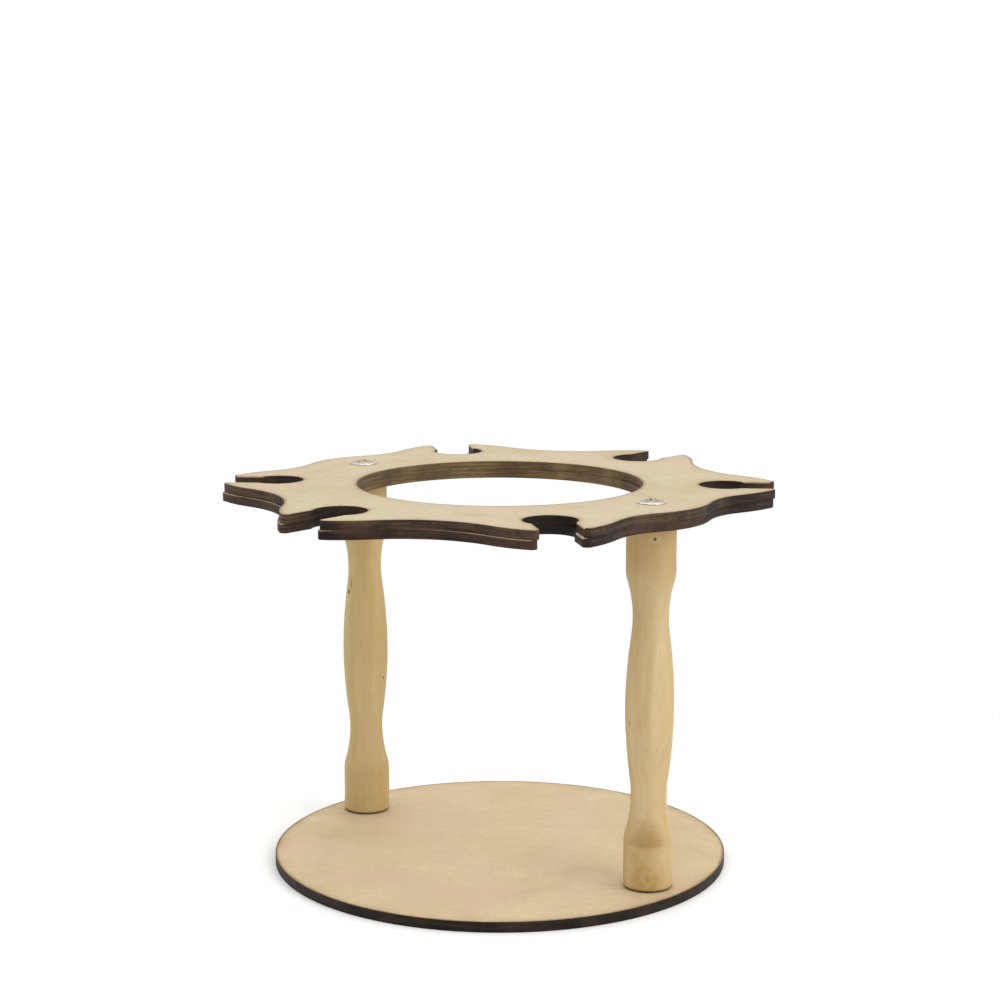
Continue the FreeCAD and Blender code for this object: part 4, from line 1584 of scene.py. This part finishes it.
@dataclass
class Screw:
    """A wood screw with a stamped cross recess, its point down at the height 0."""

    side: Side
    head: Head
    turn: float
    finish: PlatedSteelFinish
    offset: float = 75.0 * MM
    shank_radius: float = 1.75 * MM
    tip_length: float = 3.5 * MM
    under_head: float = 30.0 * MM
    head_radius: float = 5.3 * MM
    head_height: float = 1.8 * MM
    head_rim: float = 0.55 * MM
    brim_slope: float = 0.03
    dome_radius: float = 2.9 * MM
    recess_reach: float = 2.15 * MM
    recess_half_width: float = 0.5 * MM
    recess_depth: float = 1.15 * MM
    soft_edge: float = 0.22 * MM
    round_rim: float = 0.36 * MM
    flat_rim: float = 0.14 * MM
    bevel_width: float = 0.6 * MM
    bevel_height: float = 0.19 * MM
    point_share: float = 0.06
    segments: int = 128
    rim_steps: int = 6
    top_rows: int = 58

    def dome(self, away: float) -> float:
        """Find the height of the head's plain top over the plane under the head.

        Args:
            away: Distance from the axis.

        Returns:
            The height.
        """
        if self.head is Head.FLAT:
            return self.head_height
        brim = self.head_rim + self.brim_slope * (self.head_radius - max(away, self.dome_radius))
        if away >= self.dome_radius:
            return brim
        rise = self.head_height - brim
        radius = (self.dome_radius ** 2 + rise ** 2) / (2 * rise)
        return self.head_height - radius + math.sqrt(radius ** 2 - away ** 2)

    def sunk(self, x: float, y: float) -> float:
        """Find how deep the cross recess is under the plain top.

        Args:
            x: Place across the head.
            y: Place along the head.

        Returns:
            The depth.
        """
        deepest = 0.0
        for along, across in ((abs(x), abs(y)), (abs(y), abs(x))):
            width = self.recess_half_width * (1 - 0.22 * along / self.recess_reach)
            side = min(1.0, max(0.0, (width + self.soft_edge / 2 - across) / self.soft_edge))
            ends = min(1.0, max(0.0, (self.recess_reach - along) / (self.recess_reach * 0.42)))
            deepest = max(deepest, (3 * side ** 2 - 2 * side ** 3) * math.sqrt(ends))
        return self.recess_depth * deepest

    def top(self, x: float, y: float) -> float:
        """Find the height of the finished top of the head over the screw's point.

        Args:
            x: Place along the X axis.
            y: Place along the Y axis.

        Returns:
            The height.
        """
        spin = math.radians(self.turn)
        across = x * math.cos(spin) + y * math.sin(spin)
        along = y * math.cos(spin) - x * math.sin(spin)
        return self.under_head + self.dome(math.hypot(x, y)) - self.sunk(across, along)

    def row(self, skin: Skin, radius: float, height: Optional[float] = None) -> List[int]:
        """Add one round row of points.

        Args:
            skin: The screw's points and faces.
            radius: The row's radius.
            height: Its height, or None for a row that lies on the head's top.

        Returns:
            The new points' numbers.
        """
        first = len(skin.points)
        for step in range(self.segments):
            angle = 2 * math.pi * step / self.segments + math.radians(self.turn)
            x, y = radius * math.cos(angle), radius * math.sin(angle)
            skin.points.append((x, y, self.top(x, y) if height is None else height))
            skin.from_cut.append(FAR_FROM_CUT)
        return list(range(first, first + self.segments))

    def profile(self, rim: float) -> List[Tuple[float, float]]:
        """List the rows of points from the screw's point up to the head's top.

        Args:
            rim: Rounding of the head's rim.

        Returns:
            Radius and height of each row.
        """
        rows = [(self.shank_radius * self.point_share, 0.0), (self.shank_radius, self.tip_length)]
        if self.head is Head.FLAT:
            full = self.under_head + self.head_height
            cone = self.head_radius - self.shank_radius
            return rows + [(self.shank_radius, full - cone), (self.head_radius, full - rim)]
        rows += [(self.shank_radius, self.under_head),
                 (self.head_radius - self.bevel_width, self.under_head),
                 (self.head_radius, self.under_head + self.bevel_height)]
        for step in range(self.rim_steps + 1):
            lean = math.radians(90.0 * step / self.rim_steps)
            rows.append((self.head_radius - rim * (1 - math.cos(lean)),
                         self.under_head + self.head_rim - rim * (1 - math.sin(lean))))
        return rows

    def build(self) -> bpy.types.Object:
        """Build and dress the screw.

        Returns:
            The piece.
        """
        skin = Skin()
        rim = self.round_rim if self.head is Head.ROUND else self.flat_rim
        rows = [self.row(skin, radius, height) for radius, height in self.profile(rim)]
        for step in range(self.top_rows):
            share = 1 - (step + 1) / (self.top_rows + 1)
            rows.append(self.row(skin, (self.head_radius - rim) * share))
        for below, above in zip(rows, rows[1:]):
            skin.band(above, below)
        for row, height, up in ((rows[0], 0.0, False), (rows[-1], self.top(0.0, 0.0), True)):
            (centre,) = skin.ring([Vector((0.0, 0.0))], height)
            skin.fan(row, centre, up)
        place = "top" if self.head is Head.ROUND else "bottom"
        node = "%s_screw_%s" % (place, self.side.word)
        piece = skin.piece(node + "_steel", self.finish.material())
        low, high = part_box(node)
        piece.location = (self.side.value * self.offset, 0.0, low.z if self.head is Head.ROUND else high.z)
        if self.head is Head.FLAT:
            piece.rotation_euler = (math.pi, 0.0, 0.0)
        return settle(piece, node)


@dataclass(frozen=True)
class SoftBox:
    """One soft studio light."""

    name: str
    place: Tuple[float, float, float]
    size: float
    power: float
    colour: Tuple[float, float, float] = (1.0, 1.0, 1.0)


@dataclass
class Studio:
    """Floor, sky, soft lights and the camera at the photograph's angle."""

    camera_place: Tuple[float, float, float] = (0.5780, -0.6591, 0.2904)
    camera_turn: Tuple[float, float, float] = (80.575, 0.0, 41.245)
    lens: float = 81.4
    sensor_width: float = 36.0
    near_clip: float = 0.02
    light_target: Tuple[float, float, float] = (0.0, 0.0, 0.07)
    sky_low: Colour = (0.46, 0.46, 0.47, 1.0)
    sky_high: Colour = (1.05, 1.05, 1.05, 1.0)
    sky_side: Colour = (0.30, 0.30, 0.31, 1.0)
    sky_side_share: float = 0.08
    sky_strength: float = 1.0
    backdrop_strength: float = 1.05
    floor_drop: float = 0.05 * MM
    floor_reach: float = 40.0
    lights: Tuple[SoftBox, ...] = (
        SoftBox("key_light", (1.45, 0.12, 1.02), 0.9, 7.3, (1.0, 0.99, 0.97)),
        SoftBox("fill_light", (0.75, -1.35, 0.90), 1.2, 1.3, (0.98, 0.99, 1.0)),
        SoftBox("back_light", (-0.9, 1.1, 1.3), 1.2, 3.0),
        SoftBox("over_light", (0.0, 0.0, 1.9), 1.6, 6.0),
        SoftBox("right_light", (1.25, 0.80, 0.17), 1.0, 5.0),
        SoftBox("left_light", (-1.15, -0.95, 0.20), 1.0, 3.2),
    )
    floor: FloorFinish = FloorFinish("studio_floor", pale=shade(252, 252, 251), deep=shade(250, 250, 249))

    def build(self) -> None:
        """Set up the whole studio."""
        self.aim_camera()
        self.hang_lights()
        self.light_sky()
        self.lay_floor()

    def aim_camera(self) -> None:
        """Put the camera where the photograph was taken."""
        camera = bpy.data.objects.new("camera", bpy.data.cameras.new("camera"))
        bpy.context.scene.collection.objects.link(camera)
        camera.location = self.camera_place
        camera.rotation_euler = [math.radians(angle) for angle in self.camera_turn]
        camera.data.lens = self.lens
        camera.data.sensor_width = self.sensor_width
        camera.data.clip_start = self.near_clip
        bpy.context.scene.camera = camera
        bpy.context.scene.view_settings.view_transform = "Standard"

    def hang_lights(self) -> None:
        """Hang each soft light so that it looks at the holder."""
        target = Vector(self.light_target)
        for box in self.lights:
            data = bpy.data.lights.new(box.name, "AREA")
            data.shape = "DISK"
            data.size = box.size
            data.energy = box.power
            data.color = box.colour
            light = bpy.data.objects.new(box.name, data)
            bpy.context.scene.collection.objects.link(light)
            light.location = box.place
            light.rotation_euler = (target - light.location).to_track_quat("-Z", "Y").to_euler()

    def light_sky(self) -> None:
        """Fill the room with an even pale light, brighter above, and keep the backdrop white."""
        world = bpy.data.worlds.new("studio_sky")
        bpy.context.scene.world = world
        world.use_nodes = True
        world.node_tree.nodes.clear()
        graph = Graph(world.node_tree)
        way = graph.add("TexCoord").outputs["Generated"]
        up = graph.add("SeparateXYZ", Vector=way).outputs["Z"]
        glow = graph.mix(graph.ease(up, -0.1, 0.9), self.sky_low, self.sky_high)
        dim = graph.ease(graph.towards(way, SIDE_WAY), 0.9, -0.8, 0.0, self.sky_side_share)
        glow = graph.mix(dim, glow, self.sky_side)
        seen = graph.add("LightPath").outputs["Is Camera Ray"]
        colour = graph.mix(seen, glow, WHITE)
        strength = graph.sum("MULTIPLY_ADD", seen, self.backdrop_strength - self.sky_strength,
                             self.sky_strength)
        light = graph.add("Background", Color=colour, Strength=strength)
        graph.add("OutputWorld", Surface=light.outputs[0])

    def lay_floor(self) -> None:
        """Lay the floor just under the base, out of the object."""
        skin = Skin()
        reach = self.floor_reach
        corners = [Vector((-reach, -reach)), Vector((reach, -reach)), Vector((reach, reach)),
                   Vector((-reach, reach))]
        skin.fill([skin.ring(corners, -self.floor_drop)], True, reach)
        skin.piece("floor", self.floor.material())


RIGHT_WOOD = TurnedWoodFinish(
    "turned_wood_right", pale=shade(212, 190, 145), tan=shade(196, 170, 118), streak=shade(180, 143, 90),
    blush=shade(207, 178, 140), ochre=shade(174, 140, 78), olive=shade(142, 110, 48),
    stained_side=-50.0, spot_side=-58.0, turn=20.0,
    marks=(Mark(136.0 * MM, -44.5, 0.85 * MM, 1.0, shade(96, 66, 36), 0.90, 0.6),
           Mark(65.0 * MM, -107.0, 0.7 * MM, 1.0, shade(150, 84, 52), 0.8, 0.1),
           Mark(5.8 * MM, -53.0, 1.1 * MM, 2.0, shade(140, 108, 60), 0.36, 0.0)))
LEFT_WOOD = TurnedWoodFinish(
    "turned_wood_left", pale=shade(207, 187, 136), tan=shade(190, 166, 108), streak=shade(173, 138, 82),
    blush=shade(202, 172, 130), ochre=shade(170, 138, 82), olive=shade(136, 106, 54),
    stained_side=150.0, spot_side=160.0, turn=118.0,
    marks=(Mark(98.6 * MM, -97.0, 0.95 * MM, 4.6, shade(178, 120, 66), 0.70, 0.2),
           Mark(94.6 * MM, -106.0, 1.0 * MM, 1.3, shade(124, 66, 34), 0.95, 0.0),
           Mark(58.0 * MM, 12.0, 0.8 * MM, 1.2, shade(132, 88, 54), 0.7, 0.2)))
STEEL = PlatedSteelFinish("plated_steel", bright=(0.80, 0.75, 0.69, 1.0), painted_board_reflection=(0.60, 0.55, 0.42, 1.0),
                          painted_dim_reflection_and_smudge=(0.40, 0.355, 0.275, 1.0))


def main() -> None:
    """Build the studio and every piece in order."""
    logging.basicConfig(level=logging.INFO, format="%(name)s: %(message)s")
    Studio().build()
    BaseDisc().build()
    TurnedPost(Side.RIGHT, RIGHT_WOOD).build()
    TurnedPost(Side.LEFT, LEFT_WOOD).build()
    CarrierPlate().build()
    for side, turn in ((Side.RIGHT, 24.0), (Side.LEFT, 67.0)):
        Screw(side, Head.ROUND, turn, STEEL).build()
        Screw(side, Head.FLAT, turn + 15.0, STEEL, under_head=22.75 * MM, head_radius=4.0 * MM,
              head_height=2.25 * MM, recess_reach=1.9 * MM).build()


if __name__ == "__main__":
    main()
